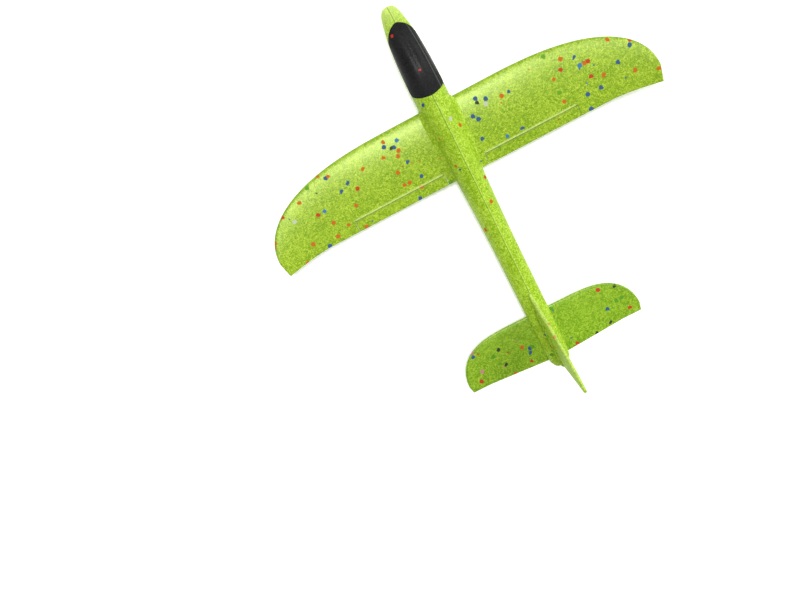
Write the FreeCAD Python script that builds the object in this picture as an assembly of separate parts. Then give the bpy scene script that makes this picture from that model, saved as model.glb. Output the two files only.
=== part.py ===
"""Foam throw glider: a moulded bead-foam toy airplane in nine separate pieces.

Millimetres. The nose points to -Y, +Z is up and +X is the glider's own left. The origin is under
the middle of the glider, on the flat of the belly. A station is a distance behind the nose tip.
"""
import FreeCAD, Part
import math
import os

Vector = FreeCAD.Vector

# Overall sizes
LENGTH = 461.0
SPAN = 480.0

# Fuselage halves: station, half width, belly height, widest height, spine height
FUSELAGE_STATIONS = [
    (0.0, 3.6, 10.6, 14.6, 18.8),
    (2.2, 7.2, 7.6, 14.8, 21.4),
    (8.0, 10.6, 4.4, 15.4, 24.6),
    (20.0, 13.4, 2.2, 16.2, 28.2),
    (40.0, 16.8, 0.6, 17.4, 33.8),
    (75.0, 19.0, 0.0, 18.8, 40.8),
    (106.0, 19.4, 0.0, 19.4, 43.4),
    (160.0, 18.4, 0.0, 19.4, 41.4),
    (206.0, 16.6, 0.0, 19.0, 38.9),
    (250.0, 15.2, 0.0, 18.6, 36.6),
    (310.0, 14.3, 2.8, 18.2, 33.4),
    (370.0, 14.2, 5.8, 17.6, 30.2),
    (430.0, 13.8, 7.6, 17.2, 28.0),
    (450.0, 12.6, 8.6, 17.0, 26.6),
    (458.0, 8.8, 10.6, 17.0, 23.8),
    (461.0, 4.6, 13.0, 17.0, 21.2),
]
BELLY_HALF_WIDTH = 6.0
BELLY_SHARE = 0.36
RIDGE_DROP = 0.10
STEPS_BETWEEN = 3

# Wing, measured from its own leading edge
WING_STATION = 117.0
WING_HEIGHT = 18.5
WING_CHORD = 87.0
WING_THICKNESS = 7.2
WING_TIP_THICKNESS = 4.0
WING_EDGE = 2.4
WING_CAMBER = 0.9
WING_FLAT_HALF = 21.5
WING_SLOT_HALF = 30.0
DIHEDRAL_RISE = 4.6
TIP_CURL_START = 150.0
TIP_CURL_RISE = 5.0
WING_CURVE_START = 60.0
WING_CURVE_DEPTH = 78.0
WING_CURVE_POWERS = (2.6, 2.2)
WING_SWEEP_START = 180.0
WING_SWEEP_DEPTH = 7.8
WING_CORNER_X = 236.4

# Fairing lip of each half along the wing's upper skin: station, share of full size
FAIRING_STATIONS = [
    (113.0, 0.0),
    (115.0, 0.38),
    (118.0, 0.66),
    (123.0, 0.9),
    (130.0, 1.0),
    (142.0, 1.0),
    (156.0, 1.0),
    (170.0, 0.95),
    (184.0, 0.85),
    (196.0, 0.7),
    (204.0, 0.5),
]
FAIRING_WIDTH = 4.0
FAIRING_RISE = 7.5
FAIRING_EDGE = 0.5
FAIRING_ROOT = 1.6

# Ailerons: scored strips on the trailing edge, hinged on the wing's lower skin
AILERON_INNER_X = 26.0
AILERON_OUTER_X = 141.0
AILERON_INNER_CHORD = 13.2
AILERON_OUTER_CHORD = 13.4
AILERON_TRAVEL = 20.0
SCORE_GAP = 0.3
SCORE_LEAN = AILERON_TRAVEL + 2.0
END_GAP = 0.5

# Tailplane
TAIL_STATION = 386.8
TAIL_HEIGHT = 14.8
TAIL_HALF_SPAN = 114.0
TAIL_CHORD = 61.8
TAIL_THICKNESS = 4.6
TAIL_EDGE = 2.8
TAIL_CURVE_START = 30.0
TAIL_CURVE_DEPTH = 48.0
TAIL_CURVE_POWERS = (3.4, 2.0)
TAIL_TAPER = 5.0
TAIL_TAPER_END = 88.0
TAIL_CORNER_X = 112.0
TAIL_FLAT_HALF = 16.0
TAIL_TIP_THINNING = 0.25

# Fin blade between the halves
FIN_THICKNESS = 4.6
FIN_FOOT_HEIGHT = 20.0
FIN_FOOT_FRONT = 357.6
FIN_FOOT_REAR = 457.0
FIN_LEADING = [(358.2, 27.0), (358.8, 33.4), (364.4, 38.6), (373.0, 54.6), (395.0, 88.0)]
FIN_LEADING += [(419.0, 114.6), (440.0, 128.4), (452.0, 131.6)]
FIN_TIP = (457.2, 130.2)
FIN_TRAILING = [(458.6, 125.0), (457.6, 100.0), (455.6, 72.0), (456.2, 46.0), (458.4, 27.0)]
RAIL_HEIGHT = 4.8
RAIL_OVERHANG = 2.4
RAIL_FRONT = 383.0
RAIL_REAR = 455.5
UPPER_SLOT_HEIGHT = 32.6

# Canopy seat, as a side profile: station and height
CANOPY_FRONT = 19.9
CANOPY_FRONT_HEIGHT = 28.1
CANOPY_FRONT_BULGE = 0.6
CANOPY_REAR = 106.3
CANOPY_REAR_HEIGHT = 43.6
SEAT_FRONT = 37.0
SEAT_REAR = 96.0
SEAT_HEIGHT = 19.6
SEAT_CORNER_RADIUS = 7.0
CANOPY_CLEAR_HEIGHT = 60.0

# Nose weight in its pocket under the canopy
WEIGHT_RADIUS = 4.0
WEIGHT_LENGTH = 34.0
WEIGHT_FRONT = 42.0

# Clearances
BOND_GAP = 0.1
SLIDE_GAP = 0.3
SECTION_POINTS = 12
SPAN_STEPS = 16


def at(x, station, z):
    """A point from its distance left of the centre plane, its station and its height."""
    return Vector(x, station - LENGTH / 2, z)


def solid_from(shape):
    """The one solid in a shape, with leftover seams merged."""
    return shape.removeSplitter().Solids[0]


def save(shape, name):
    shape.exportStep("parts/" + name + ".step")


# ---------------------------------------------------------------- fuselage

def fuselage_section(side, station, half_width, belly, widest, spine):
    """Closed outline of half a cross-section: centre line, flat belly, round side, ridged top."""
    land = min(BELLY_HALF_WIDTH, BELLY_SHARE * half_width)
    ridge = RIDGE_DROP * half_width
    low_side = [
        at(side * land, station, belly),
        at(side * (land + 0.62 * (half_width - land)), station, belly),
        at(side * half_width, station, widest - 0.62 * (widest - belly)),
        at(side * half_width, station, widest),
    ]
    high_side = [
        at(side * half_width, station, widest),
        at(side * half_width, station, widest + 0.62 * (spine - widest)),
        at(side * 0.52 * half_width, station, spine - ridge),
        at(0, station, spine),
    ]
    curves = []
    for poles in (low_side, high_side):
        curve = Part.BezierCurve()
        curve.setPoles(poles)
        curves.append(curve.toShape())
    centre = Part.makeLine(at(0, station, spine), at(0, station, belly))
    flat = Part.makeLine(at(0, station, belly), at(side * land, station, belly))
    return Part.Wire([centre, flat] + curves)


def slope_at(index, column):
    """Slope of a fuselage measure at a station, level where the measure stops rising or falling."""
    rows = FUSELAGE_STATIONS
    if index in (0, len(rows) - 1):
        other = 1 if index == 0 else index - 1
        return (rows[other][column] - rows[index][column]) / (rows[other][0] - rows[index][0])
    before, here, after = rows[index - 1], rows[index], rows[index + 1]
    rise = (here[column] - before[column]) / (here[0] - before[0])
    run_on = (after[column] - here[column]) / (after[0] - here[0])
    return 0.0 if rise * run_on <= 0 else 2 * rise * run_on / (rise + run_on)


def between(index, share, column):
    """Smooth value of a fuselage measure at a share of the way from one station to the next."""
    low, high = FUSELAGE_STATIONS[index], FUSELAGE_STATIONS[index + 1]
    span = high[0] - low[0]
    ease = share * share * (3 - 2 * share)
    leave = slope_at(index, column) * span * share * (1 - share) ** 2
    arrive = slope_at(index + 1, column) * span * share * share * (1 - share)
    return low[column] + (high[column] - low[column]) * ease + leave - arrive


def fuselage_rows():
    """The listed stations with evenly spaced ones worked out between them."""
    rows = []
    for index in range(len(FUSELAGE_STATIONS) - 1):
        low, high = FUSELAGE_STATIONS[index], FUSELAGE_STATIONS[index + 1]
        for step in range(STEPS_BETWEEN):
            share = step / STEPS_BETWEEN
            station = low[0] + share * (high[0] - low[0])
            rows.append((station,) + tuple(between(index, share, column) for column in range(1, 5)))
    return rows + [FUSELAGE_STATIONS[-1]]


def half_width_at(station):
    """Half width of the fuselage at any station."""
    rows = FUSELAGE_STATIONS
    index = max(i for i in range(len(rows) - 1) if rows[i][0] <= station)
    share = (station - rows[index][0]) / (rows[index + 1][0] - rows[index][0])
    return between(index, share, 1)


def wing_top_at(station):
    """Height of the wing's upper skin beside the fuselage, level ahead of the leading edge."""
    share = min(max((station - WING_STATION) / WING_CHORD, 0.01), 1.0)
    return WING_HEIGHT + blade_surface(share, WING_THICKNESS, WING_EDGE, WING_CAMBER)[1]


def fairing(side):
    """Hollow-sided lip that carries the fuselage's side out onto the wing's upper skin."""
    sections = []
    for station, size in FAIRING_STATIONS:
        wall = half_width_at(station)
        top = wing_top_at(station)
        inner = wall - 3 * FAIRING_ROOT
        head = (wall - FAIRING_ROOT - 0.25 * FAIRING_RISE * size, top + FAIRING_RISE * size)
        elbow = (wall - FAIRING_ROOT * (1 - size), top + FAIRING_EDGE)
        foot = (wall - FAIRING_ROOT * (1 - size) + FAIRING_WIDTH * size, top + FAIRING_EDGE)
        curve = Part.BezierCurve()
        curve.setPoles([at(side * x, station, z) for x, z in (head, elbow, foot)])
        corners = [foot, (foot[0], WING_HEIGHT), (inner, WING_HEIGHT), (inner, head[1]), head]
        points = [at(side * x, station, z) for x, z in corners]
        lines = [Part.makeLine(a, b) for a, b in zip(points, points[1:])]
        sections.append(Part.Wire([curve.toShape()] + lines))
    return Part.makeLoft(sections, True, True)


def fuselage_blank(side):
    """Half of the fuselage before anything is cut from it; side is 1 for left, -1 for right."""
    sections = [fuselage_section(side, *row) for row in fuselage_rows()]
    return Part.makeLoft(sections, True, True)


def canopy_region(inset):
    """Block over the nose with the canopy's side profile, drawn in by the inset."""
    top = CANOPY_CLEAR_HEIGHT
    floor = SEAT_HEIGHT + inset
    front = CANOPY_FRONT + inset
    rear = CANOPY_REAR - inset
    front_edge = at(0, front, CANOPY_FRONT_HEIGHT)
    rear_edge = at(0, rear, CANOPY_REAR_HEIGHT)
    middle = at(0, (front + SEAT_FRONT) / 2, (CANOPY_FRONT_HEIGHT + floor) / 2 + CANOPY_FRONT_BULGE)
    corner = at(0, SEAT_REAR - inset, floor)
    climb = (rear_edge - corner).normalize()
    turn = math.acos(climb.y)
    reach = SEAT_CORNER_RADIUS * math.tan(turn / 2)
    before, after = corner - Vector(0, reach, 0), corner + climb * reach
    sag = Vector(0, math.sin(turn / 2), 1 - math.cos(turn / 2)) * SEAT_CORNER_RADIUS
    edges = [
        Part.makeLine(at(0, front, top), front_edge),
        Part.Arc(front_edge, middle, at(0, SEAT_FRONT + inset, floor)).toShape(),
        Part.makeLine(at(0, SEAT_FRONT + inset, floor), before),
        Part.Arc(before, before + sag, after).toShape(),
        Part.makeLine(after, rear_edge),
        Part.makeLine(rear_edge, at(0, rear, top)),
        Part.makeLine(at(0, rear, top), at(0, front, top)),
    ]
    face = Part.Face(Part.Wire(edges))
    block = face.extrude(Vector(60, 0, 0))
    block.translate(Vector(-30, 0, 0))
    return block


def weight_pocket():
    """Round-bottomed trough in the seat floor that holds the nose weight."""
    radius = WEIGHT_RADIUS + BOND_GAP
    length = WEIGHT_LENGTH + 2 * BOND_GAP
    axis_height = SEAT_HEIGHT - radius
    start = at(0, WEIGHT_FRONT - BOND_GAP, axis_height)
    trough = Part.makeCylinder(radius, length, start, Vector(0, 1, 0))
    mouth = Part.makeBox(2 * radius, length, radius + 1, start - Vector(radius, 0, 0))
    return trough.fuse(mouth)


def fin_recess():
    """Room for the fin's foot between the two halves."""
    width = FIN_THICKNESS + 2 * BOND_GAP
    length = FIN_FOOT_REAR - FIN_FOOT_FRONT + 2 * BOND_GAP
    corner = at(-width / 2, FIN_FOOT_FRONT - BOND_GAP, FIN_FOOT_HEIGHT - BOND_GAP)
    return Part.makeBox(width, length, 30, corner)


def fuselage_half(side):
    half = fuselage_blank(side).fuse(fairing(side))
    cutters = [canopy_region(0), weight_pocket(), fin_recess()]
    cutters += [wing_slot(), tailplane_slot(TAIL_HEIGHT)]
    return solid_from(half.cut(cutters))


def canopy():
    block = canopy_region(BOND_GAP)
    halves = [fuselage_blank(side).common(block) for side in (1, -1)]
    return solid_from(halves[0].fuse(halves[1]))


def nose_weight():
    start = at(0, WEIGHT_FRONT, SEAT_HEIGHT - WEIGHT_RADIUS - BOND_GAP)
    slug = Part.makeCylinder(WEIGHT_RADIUS, WEIGHT_LENGTH, start, Vector(0, 1, 0))
    return slug.makeChamfer(0.6, slug.Edges[:1] + slug.Edges[2:])


# ---------------------------------------------------------------- wing and tailplane

def swell(share):
    """Thickness form of a blade: 0 at the front edge, 1 at a third of the chord, 0 at the rear."""
    return math.sqrt(share) * (1 - share) / (math.sqrt(1 / 3) * 2 / 3)


def blade_surface(share, thickness, edge, camber):
    """Lower and upper height at a share of the chord, above the line through both edges.

    The camber is the share of the swell that moves the middle line up: 1 makes the lower skin flat.
    """
    rise = min(share / 0.025, 1.0)
    bulge = (thickness - edge) / 2 * swell(share)
    half = edge / 2 * math.sqrt(1 - (1 - rise) ** 2) + bulge
    middle = camber * bulge
    return middle - half, middle + half


def blade_section(x, front, rear, height, thickness, edge, camber):
    """Closed outline across a blade: one smooth loop round the front edge and a blunt rear."""
    shares = [(1 - math.cos(math.pi * i / SECTION_POINTS)) / 2 for i in range(SECTION_POINTS + 1)]
    upper = []
    lower = []
    for share in shares:
        station = front + share * (rear - front)
        low, high = blade_surface(share, thickness, edge, camber)
        upper.append(at(x, station, height + high))
        lower.append(at(x, station, height + low))
    loop = Part.BSplineCurve()
    loop.interpolate(upper[::-1] + lower[1:])
    back = Part.makeLine(lower[-1], upper[-1])
    return Part.Wire([loop.toShape(), back])


def curved_edge(x, start, end, depth, powers):
    """How far the leading edge has swept back at x, along a rounded-square quarter."""
    along = min(max((x - start) / (end - start), 0.0), 1.0)
    return depth * (1 - (1 - along ** powers[0]) ** (1 / powers[1]))


def wing_front(x):
    return curved_edge(x, WING_CURVE_START, SPAN / 2, WING_CURVE_DEPTH, WING_CURVE_POWERS)


def wing_rear(x):
    if x > WING_CORNER_X:
        corner = WING_CHORD + WING_SWEEP_DEPTH
        return corner - (corner - WING_CURVE_DEPTH) * (x - WING_CORNER_X) / (SPAN / 2 - WING_CORNER_X)
    along = max(x - WING_SWEEP_START, 0.0) / (WING_CORNER_X - WING_SWEEP_START)
    return WING_CHORD + WING_SWEEP_DEPTH * along ** 1.5


def wing_outboard(x):
    """How far out along the sloping part of the wing x is, from 0 to 1."""
    return max(x - WING_FLAT_HALF, 0.0) / (SPAN / 2 - WING_FLAT_HALF)


def wing_height(x):
    """Height of the wing's parting line: a straight slope, and a curl beyond the ailerons."""
    curl = max(x - TIP_CURL_START, 0.0) / (SPAN / 2 - TIP_CURL_START)
    return WING_HEIGHT + DIHEDRAL_RISE * wing_outboard(x) + TIP_CURL_RISE * curl ** 2


def wing_thickness(x):
    return WING_THICKNESS + (WING_TIP_THICKNESS - WING_THICKNESS) * wing_outboard(x) ** 1.5


def wing_section(x, grow=0.0):
    """Wing outline at x, grown all round by the amount given."""
    front = WING_STATION + wing_front(abs(x)) - grow
    rear = WING_STATION + wing_rear(abs(x)) + grow
    thickness = wing_thickness(abs(x)) + 2 * grow
    edge = min(WING_EDGE, 0.7 * thickness) + 2 * grow
    return blade_section(x, front, rear, wing_height(abs(x)), thickness, edge, WING_CAMBER)


def span_places(start, end):
    """Distances from the centre plane, closer together towards the rounded tip."""
    turns = [math.pi / 2 * step / SPAN_STEPS for step in range(SPAN_STEPS + 1)]
    return [start + (end - start) * math.sin(turn) for turn in turns]


def wing_slot():
    """Room for the wing's middle, reaching out past the fairing lips."""
    face = Part.Face(wing_section(-WING_FLAT_HALF, BOND_GAP))
    panels = []
    for side in (1, -1):
        sections = [wing_section(side * x, BOND_GAP) for x in (WING_FLAT_HALF, WING_SLOT_HALF)]
        panels.append(Part.makeLoft(sections, True, True))
    return face.extrude(Vector(2 * WING_FLAT_HALF, 0, 0)).fuse(panels)


def wing_blank():
    """The whole wing before the ailerons are parted from it."""
    middle = Part.Face(wing_section(-WING_FLAT_HALF)).extrude(Vector(2 * WING_FLAT_HALF, 0, 0))
    panels = [middle]
    for side in (1, -1):
        sections = [wing_section(side * x) for x in span_places(WING_FLAT_HALF, SPAN / 2 - 0.1)]
        panels.append(Part.makeLoft(sections, True, True))
    return solid_from(panels[0].fuse(panels[1:]))


def hinge_point(side, outer):
    """Where the aileron's hinge line starts or ends, on the lower skin of the wing."""
    x = AILERON_OUTER_X if outer else AILERON_INNER_X
    chord = AILERON_OUTER_CHORD if outer else AILERON_INNER_CHORD
    share = 1 - chord / (wing_rear(x) - wing_front(x))
    low, high = blade_surface(share, wing_thickness(x), WING_EDGE, WING_CAMBER)
    return at(side * x, WING_STATION + wing_rear(x) - chord, wing_height(x) + low)


def score_wedge(side, setback, lean, end_gap):
    """Everything behind the hinge line, between the aileron's ends, with a leaning front wall."""
    depth = 8.0
    reach = 40.0
    back = depth * math.tan(math.radians(lean))
    inner = hinge_point(side, False)
    outer = hinge_point(side, True)
    along = (outer - inner).normalize()
    outlines = []
    for corner in (inner - along * end_gap, outer + along * end_gap):
        foot = corner + Vector(0, setback, 0)
        points = [
            foot,
            foot + Vector(0, back, depth),
            foot + Vector(0, reach, depth),
            foot + Vector(0, reach, -depth),
            foot + Vector(0, 0, -depth),
        ]
        outlines.append(Part.makePolygon(points + [points[0]]))
    return Part.makeLoft(outlines, True, True)


def main_wing():
    wing = wing_blank()
    for side in (1, -1):
        wing = wing.cut(score_wedge(side, -SCORE_GAP / 2, 0, END_GAP))
    return solid_from(wing)


def aileron(side):
    return solid_from(wing_blank().common(score_wedge(side, SCORE_GAP / 2, SCORE_LEAN, 0)))


def tailplane_front(x):
    return curved_edge(x, TAIL_CURVE_START, TAIL_HALF_SPAN, TAIL_CURVE_DEPTH, TAIL_CURVE_POWERS)


def tailplane_rear(x):
    if x > TAIL_CORNER_X:
        corner = TAIL_CHORD - TAIL_TAPER
        share = (x - TAIL_CORNER_X) / (TAIL_HALF_SPAN - TAIL_CORNER_X)
        return corner - (corner - TAIL_CURVE_DEPTH) * share
    along = min(max(x - TAIL_FLAT_HALF, 0.0) / (TAIL_TAPER_END - TAIL_FLAT_HALF), 1.0)
    return TAIL_CHORD - TAIL_TAPER * along


def tailplane_section(x, height, grow=0.0):
    outboard = max(abs(x) - TAIL_FLAT_HALF, 0.0) / (TAIL_HALF_SPAN - TAIL_FLAT_HALF)
    thin = 1 - TAIL_TIP_THINNING * outboard
    front = TAIL_STATION + tailplane_front(abs(x)) - grow
    rear = TAIL_STATION + tailplane_rear(abs(x)) + grow
    thickness = TAIL_THICKNESS * thin + 2 * grow
    edge = TAIL_EDGE * thin + 2 * grow
    return blade_section(x, front, rear, height, thickness, edge, 0.0)


def tailplane_slot(height):
    face = Part.Face(tailplane_section(0, height, SLIDE_GAP))
    slot = face.extrude(Vector(60, 0, 0))
    slot.translate(Vector(-30, 0, 0))
    return slot


def tailplane():
    middle = Part.Face(tailplane_section(-TAIL_FLAT_HALF, TAIL_HEIGHT))
    panels = [middle.extrude(Vector(2 * TAIL_FLAT_HALF, 0, 0))]
    for side in (1, -1):
        places = span_places(TAIL_FLAT_HALF, TAIL_HALF_SPAN - 0.1)
        sections = [tailplane_section(side * x, TAIL_HEIGHT) for x in places]
        panels.append(Part.makeLoft(sections, True, True))
    return solid_from(panels[0].fuse(panels[1:]))


# ---------------------------------------------------------------- fin

def fin_outline():
    """Side view of the blade above the spine, with its foot below."""
    leading = Part.BSplineCurve()
    leading.interpolate([at(0, *point) for point in FIN_LEADING])
    tip = Part.Arc(at(0, *FIN_LEADING[-1]), at(0, *FIN_TIP), at(0, *FIN_TRAILING[0]))
    trailing = Part.BSplineCurve()
    trailing.interpolate([at(0, *point) for point in FIN_TRAILING])
    foot = [
        at(0, *FIN_TRAILING[-1]),
        at(0, FIN_FOOT_REAR, FIN_TRAILING[-1][1]),
        at(0, FIN_FOOT_REAR, FIN_FOOT_HEIGHT),
        at(0, FIN_FOOT_FRONT, FIN_FOOT_HEIGHT),
        at(0, *FIN_LEADING[0]),
    ]
    edges = [leading.toShape(), tip.toShape(), trailing.toShape()]
    edges += [Part.makeLine(a, b) for a, b in zip(foot, foot[1:])]
    return Part.Wire(edges)


def fin_rail():
    """Thick band over the upper slot, rounded on its outer edges and at both ends."""
    width = FIN_THICKNESS + 2 * RAIL_OVERHANG
    corner = at(-width / 2, RAIL_FRONT, UPPER_SLOT_HEIGHT)
    rail = Part.makeBox(width, RAIL_REAR - RAIL_FRONT, TAIL_THICKNESS / 2 + RAIL_HEIGHT, corner)
    top = corner.z + TAIL_THICKNESS / 2 + RAIL_HEIGHT
    rounded = [edge for edge in rail.Edges if edge.BoundBox.ZMin > top - 0.1 and edge.Length > width + 1]
    rounded += [edge for edge in rail.Edges if abs(edge.BoundBox.ZLength) > 1]
    return rail.makeFillet(2.0, rounded)


def tail_fin():
    blade = Part.Face(fin_outline()).extrude(Vector(FIN_THICKNESS, 0, 0))
    blade.translate(Vector(-FIN_THICKNESS / 2, 0, 0))
    fin = blade.fuse(fin_rail())
    return solid_from(fin.cut(tailplane_slot(UPPER_SLOT_HEIGHT)))


def main():
    os.makedirs("parts", exist_ok=True)
    save(fuselage_half(1), "fuselage_left_half")
    save(fuselage_half(-1), "fuselage_right_half")
    save(canopy(), "canopy")
    save(nose_weight(), "nose_weight")
    save(main_wing(), "main_wing")
    save(aileron(1), "left_aileron")
    save(aileron(-1), "right_aileron")
    save(tailplane(), "tailplane")
    save(tail_fin(), "tail_fin")


main()
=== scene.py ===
"""Looks of a moulded bead-foam throw glider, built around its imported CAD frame.

Sizes are in millimetres in the code and in metres in the meshes. The nose points to -Y, +Z is up
and +X is the glider's own left. A station is a distance behind the nose tip.
"""

import logging
import math
from dataclasses import dataclass, replace
from enum import Enum
from typing import Callable, Sequence

import bmesh
import bpy
import numpy as np
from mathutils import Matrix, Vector


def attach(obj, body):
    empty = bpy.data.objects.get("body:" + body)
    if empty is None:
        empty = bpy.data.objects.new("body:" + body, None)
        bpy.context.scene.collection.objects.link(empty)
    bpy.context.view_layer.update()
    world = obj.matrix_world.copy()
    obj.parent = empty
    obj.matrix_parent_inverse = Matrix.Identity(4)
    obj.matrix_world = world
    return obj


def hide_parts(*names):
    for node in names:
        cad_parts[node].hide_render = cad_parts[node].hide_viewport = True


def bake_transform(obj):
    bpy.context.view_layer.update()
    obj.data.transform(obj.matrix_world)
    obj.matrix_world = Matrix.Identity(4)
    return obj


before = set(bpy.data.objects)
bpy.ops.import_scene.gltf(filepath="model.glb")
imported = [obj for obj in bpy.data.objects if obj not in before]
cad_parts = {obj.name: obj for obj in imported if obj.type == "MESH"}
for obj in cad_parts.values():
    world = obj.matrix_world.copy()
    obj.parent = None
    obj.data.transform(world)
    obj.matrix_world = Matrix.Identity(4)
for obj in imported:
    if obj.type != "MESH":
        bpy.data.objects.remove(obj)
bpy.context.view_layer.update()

MM = 0.001
SHARP_ANGLE = math.radians(38.0)
SLOPE_STEP = 0.05
log = logging.getLogger("glider")

Array = np.ndarray
Shape = Callable[[Array], Array]


class Body(str, Enum):
    """The rigid bodies that a piece can ride on."""

    AIRFRAME = "airframe"
    LEFT_AILERON = "left_aileron"
    RIGHT_AILERON = "right_aileron"
    TAILPLANE = "tailplane"


class Mark(str, Enum):
    """Point attributes that the foam finish reads."""

    # painted shade: darker along the wing's front edge and just behind the tailplane's front edge
    EDGE = "painted_edge_shade"
    # painted light: paler at the score lines and their gaps, the nose, the fin's front edge and the
    # canopy's trim line
    CREASE = "painted_light"


# ---------------------------------------------------------------- curves and grids


def rounded(distance: Array, radius: float) -> Array:
    """Quarter circle: 0 at the edge, rising to 1 where the distance reaches the radius.

    Args:
        distance: distance in from the edge.
        radius: radius of the rounding.

    Returns:
        The share of full thickness at each distance.
    """
    inside = np.clip(distance / radius, 0.0, 1.0)
    return np.sqrt(np.clip(1.0 - (1.0 - inside) ** 2, 0.0, 1.0))


def spread(start: float, end: float, count: int) -> Array:
    """Places from start to end, crowded towards both ends by a half cosine wave.

    Args:
        start: first place.
        end: last place.
        count: number of places.

    Returns:
        The places in order.
    """
    turn = np.linspace(0.0, math.pi, count)
    return start + (end - start) * (1.0 - np.cos(turn)) / 2.0


def crowded(start: float, reach: float, count: int) -> Array:
    """Places from start over a signed reach, crowded towards the start by a square law."""
    return start + reach * np.linspace(0.0, 1.0, count) ** 2


def both_sides(half: Array) -> Array:
    """Mirrors places on one side of the centre plane onto the other."""
    return np.concatenate((-half[:0:-1], half))


def through(knots: Sequence[float], values: Sequence[float], places: Array) -> Array:
    """Smooth line through a few values that never overshoots them (monotone cubic).

    Args:
        knots: where the values are known, in rising order.
        values: the values there.
        places: where the line is wanted.

    Returns:
        The line's value at each place.
    """
    x, y = np.asarray(knots, float), np.asarray(values, float)
    step = np.diff(x)
    rise = np.diff(y) / step
    slope = np.concatenate(([rise[0]], np.zeros(len(x) - 2), [rise[-1]]))
    same_way = rise[:-1] * rise[1:] > 0
    total = np.where(same_way, rise[:-1] + rise[1:], 1.0)
    slope[1:-1] = np.where(same_way, 2 * rise[:-1] * rise[1:] / total, 0.0)
    index = np.clip(np.searchsorted(x, places, side="right") - 1, 0, len(step) - 1)
    share = (np.clip(places, x[0], x[-1]) - x[index]) / step[index]
    ease = share * share * (3 - 2 * share)
    leave = slope[index] * step[index] * share * (1 - share) ** 2
    arrive = slope[index + 1] * step[index] * share * share * (1 - share)
    return y[index] + (y[index + 1] - y[index]) * ease + leave - arrive


def bezier(poles: Array, share: Array) -> Array:
    """Cubic Bezier curve, one curve per row of poles.

    Args:
        poles: control points, shaped (rows, 4, 2).
        share: how far along each curve, shaped (rows, columns).

    Returns:
        Points shaped (rows, columns, 2).
    """
    t = share[..., None]
    weights = ((1 - t) ** 3, 3 * (1 - t) ** 2 * t, 3 * (1 - t) * t * t, t ** 3)
    return sum(w * poles[:, None, i] for i, w in enumerate(weights))


def grid_faces(rows: int, columns: int) -> Array:
    """Quads of a grid of points whose columns join up into loops.

    Args:
        rows: number of rows.
        columns: number of points in each row.

    Returns:
        Corner numbers, four to a quad.
    """
    row, column = np.meshgrid(np.arange(rows - 1), np.arange(columns), indexing="ij")
    after = (column + 1) % columns
    corners = (row * columns + column, row * columns + after)
    corners += ((row + 1) * columns + after, (row + 1) * columns + column)
    return np.stack(corners, axis=-1).reshape(-1, 4)


@dataclass
class Surface:
    """Points on a grid of closed loops, in millimetres, with optional marks at each point."""

    points: Array
    marks: dict[Mark, Array]

    def piece(self, name: str) -> bpy.types.Object:
        """Makes the closed mesh, with its seams and poles merged and its faces outwards.

        Args:
            name: the piece's name.

        Returns:
            The new object, at the origin.
        """
        rows, columns = self.points.shape[:2]
        faces = grid_faces(rows, columns)
        mesh = bpy.data.meshes.new(name)
        last = (rows - 1) * columns
        ends = [tuple(range(columns))[::-1], tuple(range(last, rows * columns))]
        mesh.from_pydata(self.points.reshape(-1, 3) * MM, [], faces.tolist() + ends)
        for mark, values in self.marks.items():
            layer = mesh.attributes.new(mark.value, "FLOAT", "POINT")
            layer.data.foreach_set("value", values.reshape(-1).astype(np.float32))
        return placed(mesh, name)


def placed(mesh: bpy.types.Mesh, name: str) -> bpy.types.Object:
    """Links a mesh into the scene, welds its coincident points and shades it.

    Args:
        mesh: the mesh to show.
        name: the piece's name.

    Returns:
        The new object.
    """
    piece = bpy.data.objects.new(name, mesh)
    bpy.context.scene.collection.objects.link(piece)
    weld(piece)
    return piece


def weld(piece: bpy.types.Object, gap: float = 0.004) -> None:
    """Merges points closer than the gap, drops empty faces and points every face outwards.

    Args:
        piece: the piece to clean.
        gap: how close points have to be, in millimetres.
    """
    work = bmesh.new()
    work.from_mesh(piece.data)
    bmesh.ops.remove_doubles(work, verts=work.verts, dist=gap * MM)
    bmesh.ops.dissolve_degenerate(work, dist=gap * MM, edges=work.edges)
    bmesh.ops.recalc_face_normals(work, faces=work.faces)
    work.to_mesh(piece.data)
    work.free()
    piece.data.polygons.foreach_set("use_smooth", [True] * len(piece.data.polygons))
    piece.data.set_sharp_from_angle(angle=SHARP_ANGLE)
    piece.data.update()


def cut_out(piece: bpy.types.Object, cutters: Sequence[bpy.types.Object]) -> None:
    """Cuts each cutter's shape out of a piece, exactly, and shades the new edges.

    Args:
        piece: the piece to cut.
        cutters: the shapes to take away.
    """
    for cutter in cutters:
        step = piece.modifiers.new("cut", "BOOLEAN")
        step.operation = "DIFFERENCE"
        step.solver = "EXACT"
        step.object = cutter
        evaluated = piece.evaluated_get(bpy.context.evaluated_depsgraph_get())
        mesh = bpy.data.meshes.new_from_object(evaluated)
        piece.modifiers.clear()
        old = piece.data
        piece.data = mesh
        bpy.data.meshes.remove(old)
    weld(piece)


def discard(pieces: Sequence[bpy.types.Object]) -> None:
    """Removes cutters once they have been used."""
    for piece in pieces:
        bpy.data.objects.remove(piece)


# ---------------------------------------------------------------- finishes


@dataclass(frozen=True)
class Socket:
    """One input or output of a node group."""

    name: str
    kind: str


class Effect:
    """A shader node group that several finishes share."""

    def __init__(self, name: str, inputs: Sequence[Socket], outputs: Sequence[Socket]) -> None:
        """Makes the empty group with its named sockets.

        Args:
            name: the group's name.
            inputs: its inputs.
            outputs: its outputs.
        """
        self.tree = bpy.data.node_groups.new(name, "ShaderNodeTree")
        for way, sockets in (("INPUT", inputs), ("OUTPUT", outputs)):
            for socket in sockets:
                self.tree.interface.new_socket(name=socket.name, in_out=way, socket_type=socket.kind)
        self.source = self.tree.nodes.new("NodeGroupInput").outputs
        self.sink = self.tree.nodes.new("NodeGroupOutput").inputs


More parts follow.
